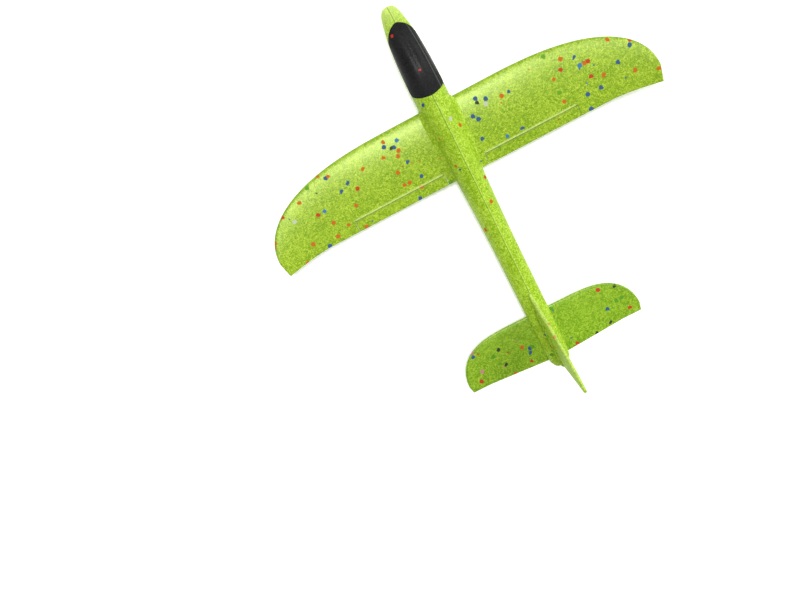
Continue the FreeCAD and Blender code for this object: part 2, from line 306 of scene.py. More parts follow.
class Wiring:
    """Short ways of adding nodes to a material or a group."""

    def __init__(self, tree: bpy.types.NodeTree) -> None:
        """Works on the given node tree."""
        self.tree = tree

    def node(self, kind: str, **settings: object) -> bpy.types.Node:
        """Adds a node and sets its properties.

        Args:
            kind: the type of node.
            settings: its properties by name.

        Returns:
            The new node.
        """
        made = self.tree.nodes.new(kind)
        for name, value in settings.items():
            setattr(made, name, value)
        return made

    def feed(self, socket: bpy.types.NodeSocket, value: object) -> None:
        """Links another socket into this one, or sets its value.

        Args:
            socket: the input to feed.
            value: a socket to link, or a plain value.
        """
        if isinstance(value, bpy.types.NodeSocket):
            self.tree.links.new(value, socket)
        else:
            socket.default_value = value

    def maths(self, operation: str, *values: object, clamp: bool = False) -> bpy.types.NodeSocket:
        """A maths node on one to three values.

        Args:
            operation: what it does.
            values: sockets or numbers.
            clamp: whether the result is held between 0 and 1.

        Returns:
            The result.
        """
        made = self.node("ShaderNodeMath", operation=operation, use_clamp=clamp)
        for socket, value in zip(made.inputs, values):
            self.feed(socket, value)
        return made.outputs[0]

    def vector(self, operation: str, *values: object) -> bpy.types.NodeSocket:
        """A vector maths node, giving its vector.

        Args:
            operation: what it does.
            values: sockets or vectors.

        Returns:
            The resulting vector.
        """
        made = self.node("ShaderNodeVectorMath", operation=operation)
        for socket, value in zip(made.inputs, values):
            self.feed(socket, value)
        return made.outputs[0]

    def scaled(self, vector: bpy.types.NodeSocket, scale: float) -> bpy.types.NodeSocket:
        """A vector times a number.

        Args:
            vector: the vector.
            scale: the number.

        Returns:
            The scaled vector.
        """
        made = self.node("ShaderNodeVectorMath", operation="SCALE")
        self.feed(made.inputs[0], vector)
        self.feed(made.inputs["Scale"], scale)
        return made.outputs[0]

    def band(
        self, value: object, low: object, high: object, to: tuple = (0.0, 1.0)
    ) -> bpy.types.NodeSocket:
        """Maps a value from one range to another, smoothly and clamped.

        Args:
            value: the value.
            low: start of its range.
            high: end of its range.
            to: the range of the result.

        Returns:
            The mapped value.
        """
        made = self.node("ShaderNodeMapRange", interpolation_type="SMOOTHSTEP")
        for name, given in (("Value", value), ("From Min", low), ("From Max", high)):
            self.feed(made.inputs[name], given)
        made.inputs["To Min"].default_value, made.inputs["To Max"].default_value = to
        return made.outputs["Result"]

    def mix(self, share: object, first: object, second: object) -> bpy.types.NodeSocket:
        """Mixes two colours, each a socket or a plain (red, green, blue).

        Args:
            share: how much of the second to take.
            first: the first colour.
            second: the second colour.

        Returns:
            The mixed colour.
        """
        made = self.node("ShaderNodeMix", data_type="RGBA")
        for index, value in ((0, share), (6, first), (7, second)):
            self.feed(made.inputs[index], (*value, 1.0) if isinstance(value, tuple) else value)
        return made.outputs[2]

    def ramp(self, value: object, stops: Sequence[tuple], steps: bool = False) -> bpy.types.NodeSocket:
        """A colour ramp with stops of (place, colour).

        Args:
            value: the place on the ramp.
            stops: places and colours, in rising order.
            steps: whether each colour holds until the next one.

        Returns:
            The colour.
        """
        made = self.node("ShaderNodeValToRGB")
        made.color_ramp.interpolation = "CONSTANT" if steps else "LINEAR"
        elements = made.color_ramp.elements
        while len(elements) < len(stops):
            elements.new(1.0)
        for element, (place, colour) in zip(elements, stops):
            element.position = place
            element.color = (*colour[:3], 1.0)
        self.feed(made.inputs[0], value)
        return made.outputs["Color"]

    def voronoi(
        self, where: object, size: float, feature: str, dimensions: str, random: float
    ) -> bpy.types.Node:
        """A cell texture.

        Args:
            where: its coordinates.
            size: size of its cells in millimetres.
            feature: what it measures.
            dimensions: "2D" or "3D".
            random: how far the cells are scattered off an even grid, from 0 to 1.

        Returns:
            The texture node.
        """
        made = self.node("ShaderNodeTexVoronoi", feature=feature, voronoi_dimensions=dimensions)
        self.feed(made.inputs["Vector"], where)
        made.inputs["Scale"].default_value = per_mm(size)
        made.inputs["Randomness"].default_value = random
        return made

    def noise(self, where: object, size: float, detail: float = 2.0) -> bpy.types.Node:
        """A noise texture.

        Args:
            where: its coordinates.
            size: size of its blots in millimetres.
            detail: how many finer layers it has.

        Returns:
            The texture node.
        """
        made = self.node("ShaderNodeTexNoise")
        self.feed(made.inputs["Vector"], where)
        made.inputs["Scale"].default_value = per_mm(size)
        made.inputs["Detail"].default_value = detail
        return made

    def place(self) -> bpy.types.NodeSocket:
        """Coordinates fixed to the object, in metres."""
        return self.node("ShaderNodeTexCoord").outputs["Object"]

    def split(self, value: object, kind: str = "ShaderNodeSeparateXYZ") -> Sequence:
        """Splits a vector or a colour into its three parts.

        Args:
            value: the vector or colour.
            kind: the type of node that splits it.

        Returns:
            The three parts.
        """
        made = self.node(kind)
        self.feed(made.inputs[0], value)
        return made.outputs

    def bump(self, shader: bpy.types.Node, height: object, strength: float, depth: float) -> None:
        """Gives a shader a bump.

        Args:
            shader: the shader.
            height: the height, from 0 to 1.
            strength: how much of the bump shows.
            depth: depth of the bump in millimetres.
        """
        made = self.node("ShaderNodeBump")
        made.inputs["Strength"].default_value = strength
        made.inputs["Distance"].default_value = depth * MM
        self.feed(made.inputs["Height"], height)
        self.feed(shader.inputs["Normal"], made.outputs[0])


def per_mm(size: float) -> float:
    """Texture scale, per metre, of a pattern whose cells are the given size in millimetres."""
    return 1.0 / (size * MM)


def new_material(name: str) -> tuple[bpy.types.Material, Wiring, bpy.types.Node]:
    """Makes a plain material.

    Args:
        name: the material's name.

    Returns:
        The material, its wiring and its surface shader.
    """
    material = bpy.data.materials.new(name)
    material.use_nodes = True
    return material, Wiring(material.node_tree), material.node_tree.nodes["Principled BSDF"]


@dataclass(frozen=True)
class StrayBeads:
    """Beads of other colours caught in the foam: how many, and where each colour starts."""

    share: float = 0.052
    small_share: float = 0.0022
    dullness: float = 0.5
    colours: tuple = (
        (0.00, (0.004, 0.055, 0.200)),
        (0.30, (0.47, 0.085, 0.004)),
        (0.62, (0.42, 0.010, 0.006)),
        (0.76, (0.015, 0.135, 0.34)),
        (0.82, (0.085, 0.27, 0.010)),
        (0.90, (0.42, 0.46, 0.36)),
        (0.94, (0.010, 0.010, 0.012)),
        (0.97, (0.46, 0.10, 0.20)),
    )


@dataclass(frozen=True)
class BeadPattern:
    """Pressed foam beads: sizes in millimetres, and how strongly each layer shades the foam."""

    cell: float = 1.8
    cell_random: float = 0.95
    cell_shade: float = 0.36
    base_shade: float = 0.32
    wobble_size: float = 2.2
    wobble_reach: float = 1.5
    grain_size: float = 1.05
    grain_shade: float = 1.5
    blotch_size: float = 24.0
    blotch_shade: float = 0.32
    stray_cell: float = 5.4
    stray_random: float = 0.75
    # shares of a stray cell's size
    stray_radius: float = 0.49
    rim_start: float = 0.42
    pit_size: float = 1.9
    pit_band: tuple = (0.29, 0.36)
    dome_width: float = 0.3
    dome_share: float = 0.6
    outputs: tuple = ("Shade", "Stray", "Stray Pick", "Rim", "Pit", "Height", "Grain")

    def group(self, name: str, dimensions: str) -> bpy.types.NodeTree:
        """Makes the group: cells with their own shade, fine pits and stray coloured beads.

        The cells are nearest-point regions of scattered points. Fine cells give the mottled shade,
        and large cells whose random number is high are stray beads.

        Args:
            name: the group's name.
            dimensions: "2D" for flat skins, where cells run straight through, or "3D".

        Returns:
            The node group, with an output for each name in outputs.
        """
        inputs = [Socket("Vector", "NodeSocketVector")]
        inputs += [Socket(share, "NodeSocketFloat") for share in ("Stray Share", "Small Share")]
        effect = Effect(name, inputs, [Socket(output, "NodeSocketFloat") for output in self.outputs])
        w = Wiring(effect.tree)
        where = effect.source["Vector"]
        wobble = w.noise(where, self.wobble_size, 1.0).outputs["Color"]
        centred = w.vector("SUBTRACT", wobble, (0.5, 0.5, 0.5))
        bent = w.vector("ADD", where, w.scaled(centred, self.wobble_reach * MM))
        cells = w.voronoi(bent, self.cell, "F1", dimensions, self.cell_random)
        edges = w.voronoi(bent, self.cell, "DISTANCE_TO_EDGE", dimensions, self.cell_random)
        large = w.voronoi(bent, self.stray_cell, "F1", dimensions, self.stray_random)
        picks = w.split(cells.outputs["Color"], "ShaderNodeSeparateColor")
        large_picks = w.split(large.outputs["Color"], "ShaderNodeSeparateColor")
        fine = w.noise(where, self.grain_size).outputs[0]
        blotch = w.noise(where, self.blotch_size, 3.0).outputs[0]
        shade = w.maths("MULTIPLY_ADD", picks[0], self.cell_shade, self.base_shade)
        for layer, strength in ((fine, self.grain_shade), (blotch, self.blotch_shade)):
            shade = w.maths("ADD", shade, w.maths("MULTIPLY_ADD", layer, strength, -strength / 2))
        limit = w.maths("SUBTRACT", 1.0, effect.source["Stray Share"])
        within = w.maths("LESS_THAN", large.outputs["Distance"], self.stray_radius)
        big = w.maths("MULTIPLY", w.maths("GREATER_THAN", large_picks[1], limit), within)
        limit = w.maths("SUBTRACT", 1.0, effect.source["Small Share"])
        small = w.maths("GREATER_THAN", picks[1], limit)
        lone = w.maths("SUBTRACT", small, w.maths("MULTIPLY", small, big))
        pick = w.maths("MULTIPLY_ADD", large_picks[2], big, w.maths("MULTIPLY", picks[2], lone))
        dome = w.band(edges.outputs["Distance"], 0.0, self.dome_width)
        dome = w.maths("MULTIPLY", dome, self.dome_share)
        results = (
            shade,
            w.maths("MAXIMUM", big, small),
            pick,
            w.band(large.outputs["Distance"], self.rim_start, self.stray_radius),
            w.band(w.noise(where, self.pit_size).outputs[0], *self.pit_band, (1.0, 0.0)),
            w.maths("ADD", dome, w.maths("MULTIPLY", fine, 1.0 - self.dome_share)),
            fine,
        )
        for output, value in zip(self.outputs, results):
            w.feed(effect.sink[output], value)
        return effect.tree


def bead_layers(w: Wiring, beads: bpy.types.NodeTree, where: object, stray: StrayBeads) -> Sequence:
    """Adds the pressed beads to a material.

    Args:
        w: wiring of the material.
        beads: the pressed beads group.
        where: coordinates of the beads.
        stray: the stray beads among them.

    Returns:
        The group's outputs.
    """
    group = w.node("ShaderNodeGroup", node_tree=beads)
    w.feed(group.inputs["Vector"], where)
    group.inputs["Stray Share"].default_value = stray.share
    group.inputs["Small Share"].default_value = stray.small_share
    return group.outputs


@dataclass(frozen=True)
class SeamLine:
    """A soft line along the centre plane, in millimetres: place, fading band and strength."""

    place: float
    inner: float
    outer: float
    strength: float


@dataclass(frozen=True)
class FoamFinish:
    """Moulded bead foam in one main colour."""

    name: str
    dark: tuple
    main: tuple
    light: tuple
    # edge: tint of the painted shade along front edges, and of the dark bonded seam on the halves
    edge: tuple
    # pale tint of the painted highlights
    painted_light: tuple
    roughness: float
    grain_roughness: float = 0.3
    specular: float = 0.68
    sheen: tuple = (0.87, 1.0, 0.45)
    bump: float = 0.5
    bump_depth: float = 0.10
    flat: bool = True
    seam: bool = False
    stray: StrayBeads = StrayBeads()
    offset: tuple = (0.0, 0.0, 0.0)
    shade_stops: tuple = (0.2, 0.5, 0.8)
    pit_share: float = 0.4
    rim_share: float = 0.25
    grain_share: float = 0.06
    mark_share: float = 0.9
    seam_drift: float = 9.0
    seam_wander: float = 0.5
    # painted highlight beside the seam, on the lit right side
    seam_highlight: SeamLine = SeamLine(place=1.25, inner=0.3, outer=0.8, strength=0.2)
    dark_line: SeamLine = SeamLine(place=0.0, inner=0.2, outer=0.7, strength=0.6)

    def place(self, w: Wiring) -> bpy.types.NodeSocket:
        """Coordinates of the beads; on a flat skin the lower side is moved away from the upper.

        Args:
            w: wiring of the material.

        Returns:
            The coordinates.
        """
        moved = w.vector("ADD", w.place(), tuple(v * MM for v in self.offset))
        if not self.flat:
            return moved
        facing = w.split(w.node("ShaderNodeNewGeometry").outputs["Normal"])
        shift = w.node("ShaderNodeCombineXYZ")
        w.feed(shift.inputs[0], w.maths("LESS_THAN", facing[2], -0.3))
        return w.vector("ADD", moved, shift.outputs[0])

    def material(self, beads: bpy.types.NodeTree) -> bpy.types.Material:
        """Builds the finish.

        Args:
            beads: the pressed beads group.

        Returns:
            The material.
        """
        material, w, shader = new_material(self.name)
        layers = bead_layers(w, beads, self.place(w), self.stray)
        tones = tuple(zip(self.shade_stops, (self.dark, self.main, self.light)))
        colour = w.ramp(layers["Shade"], tones)
        colour = w.mix(w.maths("MULTIPLY", layers["Pit"], self.pit_share), colour, self.dark)
        strays = w.ramp(layers["Stray Pick"], self.stray.colours, steps=True)
        strays = w.mix(w.maths("MULTIPLY", layers["Rim"], self.rim_share), strays, self.dark)
        strays = w.mix(w.maths("MULTIPLY", layers["Grain"], self.grain_share), strays, self.light)
        colour = w.mix(layers["Stray"], colour, strays)
        # the two marks paint shade along front edges and highlights elsewhere
        for mark, tint in ((Mark.EDGE, self.edge), (Mark.CREASE, self.painted_light)):
            layer = w.node("ShaderNodeAttribute", attribute_name=mark.value)
            share = w.maths("MULTIPLY", layer.outputs["Fac"], self.mark_share, clamp=True)
            colour = w.mix(share, colour, tint)
        if self.seam:
            colour = self.seam_lines(w, colour)
        w.feed(shader.inputs["Base Color"], colour)
        smooth = self.roughness - self.grain_roughness / 2
        rough = w.maths("MULTIPLY_ADD", layers["Grain"], self.grain_roughness, smooth)
        rough = w.maths("MULTIPLY_ADD", layers["Stray"], self.stray.dullness, rough)
        w.feed(shader.inputs["Roughness"], rough)
        w.bump(shader, layers["Height"], self.bump, self.bump_depth)
        shader.inputs["Specular IOR Level"].default_value = self.specular
        shader.inputs["Specular Tint"].default_value = (*self.sheen, 1.0)
        return material

    def seam_lines(self, w: Wiring, colour: bpy.types.NodeSocket) -> bpy.types.NodeSocket:
        """Paints a highlight beside the centre plane on the lit right side, and darkens the bonded
        seam on it.

        Args:
            w: wiring of the material.
            colour: the foam's colour.

        Returns:
            The colour with the lines.
        """
        place = w.place()
        drift = w.noise(place, self.seam_drift).outputs[0]
        wander = self.seam_wander * MM
        side = w.maths("ADD", w.split(place)[0], w.maths("MULTIPLY_ADD", drift, wander, -wander / 2))
        for line, tone in ((self.seam_highlight, self.painted_light), (self.dark_line, self.edge)):
            away = w.maths("ABSOLUTE", w.maths("ADD", side, line.place * MM))
            share = w.band(away, line.inner * MM, line.outer * MM, (line.strength, 0.0))
            colour = w.mix(share, colour, tone)
        return colour


LIME = FoamFinish(
    name="lime_foam",
    dark=(0.125, 0.240, 0.003),
    main=(0.220, 0.372, 0.007),
    light=(0.42, 0.56, 0.045),
    # dark green of the painted edge shade, then the pale tint of the painted highlights
    edge=(0.085, 0.240, 0.002),
    painted_light=(0.82, 0.94, 0.36),
    roughness=0.32,
)
LIME_BODY = FoamFinish(
    name="lime_foam_body",
    dark=(0.162, 0.290, 0.004),
    main=(0.272, 0.450, 0.012),
    light=(0.45, 0.64, 0.075),
    edge=(0.110, 0.220, 0.003),
    painted_light=LIME.painted_light,
    roughness=0.46,
    specular=0.3,
    flat=False,
    seam=True,
    stray=StrayBeads(share=0.022, small_share=0.001),
    offset=(31.0, 53.0, 17.0),
)
LIME_FIN = replace(LIME_BODY, name="lime_foam_fin", roughness=0.62, specular=0.2, seam=False)
# darker copy of the wing's foam: painted shade for the dimmer light over the tail; its stray bead
# colours are its own
LIME_TAIL_SHADED = replace(
    LIME,
    name="lime_foam_tail_shaded",
    dark=(0.100, 0.215, 0.003),
    main=(0.182, 0.350, 0.006),
    light=(0.34, 0.50, 0.04),
    stray=StrayBeads(
        share=0.07,
        small_share=0.003,
        colours=(
            (0.00, (0.004, 0.055, 0.200)),
            (0.22, (0.47, 0.085, 0.004)),
            (0.34, (0.42, 0.010, 0.006)),
            (0.54, (0.060, 0.240, 0.008)),
            (0.84, (0.010, 0.010, 0.012)),
            (0.88, (0.42, 0.46, 0.36)),
            (0.92, (0.46, 0.16, 0.20)),
        ),
    ),
    offset=(17.0, 5.0, 0.0),
)


@dataclass(frozen=True)
class SkinFinish:
    """Black moulded foam skin, polished in the middle, with a couple of red beads showing."""

    name: str = "black_foam"
    main: tuple = (0.0085, 0.0092, 0.0088)
    worn: tuple = (0.017, 0.018, 0.0172)
    shade_stops: tuple = (0.25, 0.8)
    # painted highlight of the trim line, seen on the lit right side only
    trim_highlight: tuple = (0.14, 0.155, 0.135)
    bead: tuple = (0.40, 0.030, 0.022)
    bead_places: tuple = ((9.5, -199.5, 27.8), (-0.2, -154.0, 40.2))
    bead_radius: float = 1.9
    bead_wobble: float = 1.6
    bead_firmness: float = 0.86
    polish_place: float = -170.0
    polish_reach: tuple = (8.0, 34.0)
    polish_roughness: tuple = (0.17, 0.55)
    grain_roughness: float = 0.18
    specular: float = 0.08
    bump: float = 0.5
    bump_depth: float = 0.15

    def material(self, beads: bpy.types.NodeTree) -> bpy.types.Material:
        """Builds the finish.

        Args:
            beads: the pressed beads group.

        Returns:
            The material.
        """
        material, w, shader = new_material(self.name)
        place = w.place()
        layers = bead_layers(w, beads, place, StrayBeads(share=0.0, small_share=0.0))
        colour = w.ramp(layers["Shade"], tuple(zip(self.shade_stops, (self.main, self.worn))))
        # painted highlight along the trim line
        trim_highlight = w.node("ShaderNodeAttribute", attribute_name=Mark.CREASE.value).outputs["Fac"]
        colour = w.mix(w.maths("MULTIPLY", trim_highlight, layers["Grain"]), colour, self.trim_highlight)
        wobble = w.noise(place, 2.0, 1.0).outputs[0]
        for centre in self.bead_places:
            gap = w.node("ShaderNodeVectorMath", operation="DISTANCE")
            w.feed(gap.inputs[0], place)
            gap.inputs[1].default_value = tuple(v * MM for v in centre)
            reach = w.maths("MULTIPLY_ADD", wobble, self.bead_wobble * MM, gap.outputs["Value"])
            radius = (self.bead_radius + self.bead_wobble / 2) * MM
            share = w.band(reach, radius * self.bead_firmness, radius, (1.0, 0.0))
            colour = w.mix(share, colour, self.bead)
        w.feed(shader.inputs["Base Color"], colour)
        from_polish = w.maths("SUBTRACT", w.split(place)[1], self.polish_place * MM)
        near, far = self.polish_reach
        away = w.maths("ABSOLUTE", from_polish)
        dull = w.band(away, near * MM, far * MM, self.polish_roughness)
        rough = w.maths("MULTIPLY_ADD", layers["Grain"], self.grain_roughness, dull)
        w.feed(shader.inputs["Roughness"], rough)
        w.bump(shader, layers["Height"], self.bump, self.bump_depth)
        shader.inputs["Specular IOR Level"].default_value = self.specular
        return material


@dataclass(frozen=True)
class SteelFinish:
    """Plain turned steel with fine rings round its axis."""

    name: str = "turned_steel"
    colour: tuple = (0.42, 0.42, 0.43)
    dull_share: float = 0.7
    ring_size: float = 0.35
    ring_wobble: float = 1.5
    roughness: tuple = (0.25, 0.5)
    tone_size: float = 3.0

    def material(self) -> bpy.types.Material:
        """Builds the finish.

        Returns:
            The material.
        """
        material, w, shader = new_material(self.name)
        place = w.place()
        rings = w.node("ShaderNodeTexWave", bands_direction="Y")
        w.feed(rings.inputs["Vector"], place)
        # a wave texture repeats twenty times for each unit of its scale
        rings.inputs["Scale"].default_value = per_mm(self.ring_size) / 20
        rings.inputs["Distortion"].default_value = self.ring_wobble
        w.feed(shader.inputs["Roughness"], w.band(rings.outputs["Fac"], 0.0, 1.0, self.roughness))
        tone = w.noise(place, self.tone_size).outputs[0]
        dull = tuple(v * self.dull_share for v in self.colour)
        w.feed(shader.inputs["Base Color"], w.ramp(tone, ((0.3, dull), (0.7, self.colour))))
        shader.inputs["Metallic"].default_value = 1.0
        return material


# ---------------------------------------------------------------- blades: wing and tailplane


def swell(share: Array) -> Array:
    """Thickness form of a blade: 0 at the front edge, 1 at a third of the chord, 0 at the rear.

    The form is sqrt(s) (1 - s) over its greatest value, with s the share of the chord.

    Args:
        share: share of the chord behind the front edge.

    Returns:
        The share of the full swell at each place.
    """
    return np.sqrt(share) * (1 - share) / (math.sqrt(1 / 3) * 2 / 3)


@dataclass(frozen=True)
class BladeShape:
    """Plan and section of a flat foam surface that runs from tip to tip."""

    station: float
    height: float
    chord: float
    half_span: float
    thickness: float
    tip_thickness: float
    edge: float
    camber: float
    flat_half: float
    rise: float
    curve_start: float
    curve_depth: float
    curve_powers: tuple
    corner_x: float
    thin_power: float
    length: float = 461.0
    edge_radius: float = 2.2
    rear_radius: float = 1.3
    tip_margin: float = 0.1

    def outboard(self, x: Array) -> Array:
        """How far out along the sloping part x is, from 0 to 1."""
        return np.clip(np.abs(x) - self.flat_half, 0.0, None) / (self.half_span - self.flat_half)

    def front(self, x: Array) -> Array:
        """Sweep of the front edge: a rounded-square quarter from curve_start to the tip.

        Args:
            x: distance left of the centre plane.

        Returns:
            The sweep at each place.
        """
        along = np.clip((np.abs(x) - self.curve_start) / (self.half_span - self.curve_start), 0, 1)
        first, second = self.curve_powers
        return self.curve_depth * (1 - np.clip(1 - along ** first, 0, 1) ** (1 / second))

    def back(self, x: Array) -> Array:
        """Place of the rear edge inboard of the tip corner."""
        raise NotImplementedError

    def rear(self, x: Array) -> Array:
        """Place of the rear edge, which runs forward from the tip corner to meet the front.

        Args:
            x: distance left of the centre plane.

        Returns:
            The place of the edge behind the root front.
        """
        corner = self.back(np.array(self.corner_x))
        past = np.clip((np.abs(x) - self.corner_x) / (self.half_span - self.corner_x), 0, 1)
        return np.where(
            np.abs(x) > self.corner_x, corner - (corner - self.curve_depth) * past, self.back(x)
        )

    def lift(self, x: Array) -> Array:
        """Height of the middle line, which slopes up towards the tips."""
        return self.height + self.rise * self.outboard(x)

    def deepest(self, x: Array) -> Array:
        """Greatest thickness of the section at x."""
        thinning = (self.thickness - self.tip_thickness) * self.outboard(x) ** self.thin_power
        return self.thickness - thinning

    def blunt(self, x: Array) -> Array:
        """Thickness of the blunt edges at x."""
        return self.edge + 0 * x

    def bulge(self, x: Array, share: Array) -> Array:
        """Half of what the swell adds to the thickness of the blunt edges."""
        return (self.deepest(x) - self.blunt(x)) / 2 * swell(share)

    def slope(self, line: Shape, x: Array) -> Array:
        """Slope of an edge line at x, from its change over a short step kept inside the tip.

        Args:
            line: the edge line.
            x: distance left of the centre plane.

        Returns:
            The slope.
        """
        ahead = np.clip(np.abs(x) + SLOPE_STEP, 0, self.half_span)
        return (line(ahead) - line(ahead - 2 * SLOPE_STEP)) / (2 * SLOPE_STEP)

    def past_front(self, loops: Array, x: Array) -> Array:
        """Distance of points behind the front edge, taken square to it.

        Args:
            loops: the points.
            x: distance of each loop left of the centre plane.

        Returns:
            The distances.
        """
        y = loops[..., 1] - (self.station - self.length / 2)
        return (y - self.front(x)) / np.sqrt(1 + self.slope(self.front, x) ** 2)

    def half_depth(self, x: Array, share: Array) -> Array:
        """Half thickness: a blunt edge plus a swell that peaks at a third of the chord.

        Args:
            x: distance left of the centre plane.
            share: share of the chord behind the front edge.

        Returns:
            Half the thickness, rounded off at the front, the rear and the tip.
        """
        full = self.blunt(x) / 2 + self.bulge(x, share)
        chord = self.rear(x) - self.front(x)
        from_front = share * chord / np.sqrt(1 + self.slope(self.front, x) ** 2)
        from_rear = (1 - share) * chord / np.sqrt(1 + self.slope(self.rear, x) ** 2)
        return full * rounded(from_front, self.edge_radius) * rounded(from_rear, self.rear_radius)

    def points(self, x: Array, share: Array, upper: bool) -> Array:
        """Points of the upper or lower skin.

        Args:
            x: distances left of the centre plane, shaped (rows, 1).
            share: shares of the chord, shaped (rows, columns).
            upper: whether it is the upper skin.

        Returns:
            Points shaped (rows, columns, 3).
        """
        y = self.station - self.length / 2 + self.front(x) + share * (self.rear(x) - self.front(x))
        half = self.half_depth(x, share)
        z = self.lift(x) + self.camber * self.bulge(x, share) + (half if upper else -half)
        return np.stack(np.broadcast_arrays(x, y, z), axis=-1)

    def slot(self, height: float, grow: float, reach: float) -> bpy.types.Object:
        """Cutter of the root section, grown all round, running across the fuselage.

        Args:
            height: height of the section's middle line.
            grow: clearance all round.
            reach: half the cutter's width.

        Returns:
            The cutter.
        """
        share = spread(0.0, 1.0, 33)
        chord = self.chord + 2 * grow
        y = self.station - self.length / 2 - grow + share * chord
        bulge = (self.thickness - self.edge) / 2 * swell(share)
        middle = height + self.camber * bulge
        half = (self.edge / 2 + grow) * rounded(share, 0.025) + bulge
        loop_y = np.concatenate((y, y[:0:-1]))
        loop_z = np.concatenate((middle + half, (middle - half)[:0:-1]))
        ends = [np.column_stack((np.full_like(loop_y, x), loop_y, loop_z)) for x in (-reach, reach)]
        return Surface(np.array(ends), {}).piece("slot_cutter")


@dataclass(frozen=True)
class WingShape(BladeShape):
    """The wing: straight rear edge that sweeps back near the tips, which curl up."""

    sweep_start: float = 180.0
    sweep_depth: float = 7.8
    curl_start: float = 150.0
    curl_rise: float = 5.0

    def back(self, x: Array) -> Array:
        """Rear edge, straight and then swept back by a gentle power curve."""
        along = np.clip(np.abs(x) - self.sweep_start, 0, None) / (self.corner_x - self.sweep_start)
        return self.chord + self.sweep_depth * along ** 1.5

    def lift(self, x: Array) -> Array:
        """Height of the middle line: a straight slope, and a curl beyond the ailerons."""
        curl = np.clip(np.abs(x) - self.curl_start, 0, None) / (self.half_span - self.curl_start)
        return super().lift(x) + self.curl_rise * curl ** 2


@dataclass(frozen=True)
class TailShape(BladeShape):
    """The tailplane: rear edge that tapers forward and then runs straight."""

    taper: float = 5.0
    taper_end: float = 88.0

    def back(self, x: Array) -> Array:
        """Rear edge, tapering forward as far as taper_end."""
        along = np.clip((np.abs(x) - self.flat_half) / (self.taper_end - self.flat_half), 0, 1)
        return self.chord - self.taper * along

    def blunt(self, x: Array) -> Array:
        """Thickness of the blunt edges, which thin out with the rest of the section."""
        return self.edge * self.deepest(x) / self.thickness


WING = WingShape(
    station=117.0, height=18.5, chord=87.0, half_span=240.0, thickness=7.2, tip_thickness=4.0,
    edge=2.4, camber=0.9, flat_half=21.5, rise=4.6, curve_start=60.0, curve_depth=78.0,
    curve_powers=(2.6, 2.2), corner_x=236.4, thin_power=1.5,
)
TAIL = TailShape(
    station=386.8, height=14.8, chord=61.8, half_span=114.0, thickness=4.6, tip_thickness=3.45,
    edge=2.8, camber=0.0, flat_half=16.0, rise=0.0, curve_start=30.0, curve_depth=48.0,
    curve_powers=(3.4, 2.0), corner_x=112.0, thin_power=1.0, edge_radius=2.0, rear_radius=1.3,
)


@dataclass(frozen=True)
class ScoreLine:
    """The scored hinge line between the wing and an aileron."""

    inner_x: float = 26.0
    outer_x: float = 141.0
    inner_chord: float = 13.2
    outer_chord: float = 13.4
    gap: float = 0.3
    end_gap: float = 0.5
    lean: float = 22.0
    # width of the painted highlight beside the score line
    highlight_width: float = 0.38

    def chord(self, x: Array) -> Array:
        """Chord of the strip behind the line."""
        along = (np.abs(x) - self.inner_x) / (self.outer_x - self.inner_x)
        return self.inner_chord + (self.outer_chord - self.inner_chord) * np.clip(along, 0, 1)

    def share(self, x: Array, shape: BladeShape) -> Array:
        """Share of the wing's chord at which the line lies, carried on past both of its ends."""
        held = np.clip(np.abs(x), self.inner_x, self.outer_x)
        return 1 - self.chord(held) / (shape.rear(held) - shape.front(held))


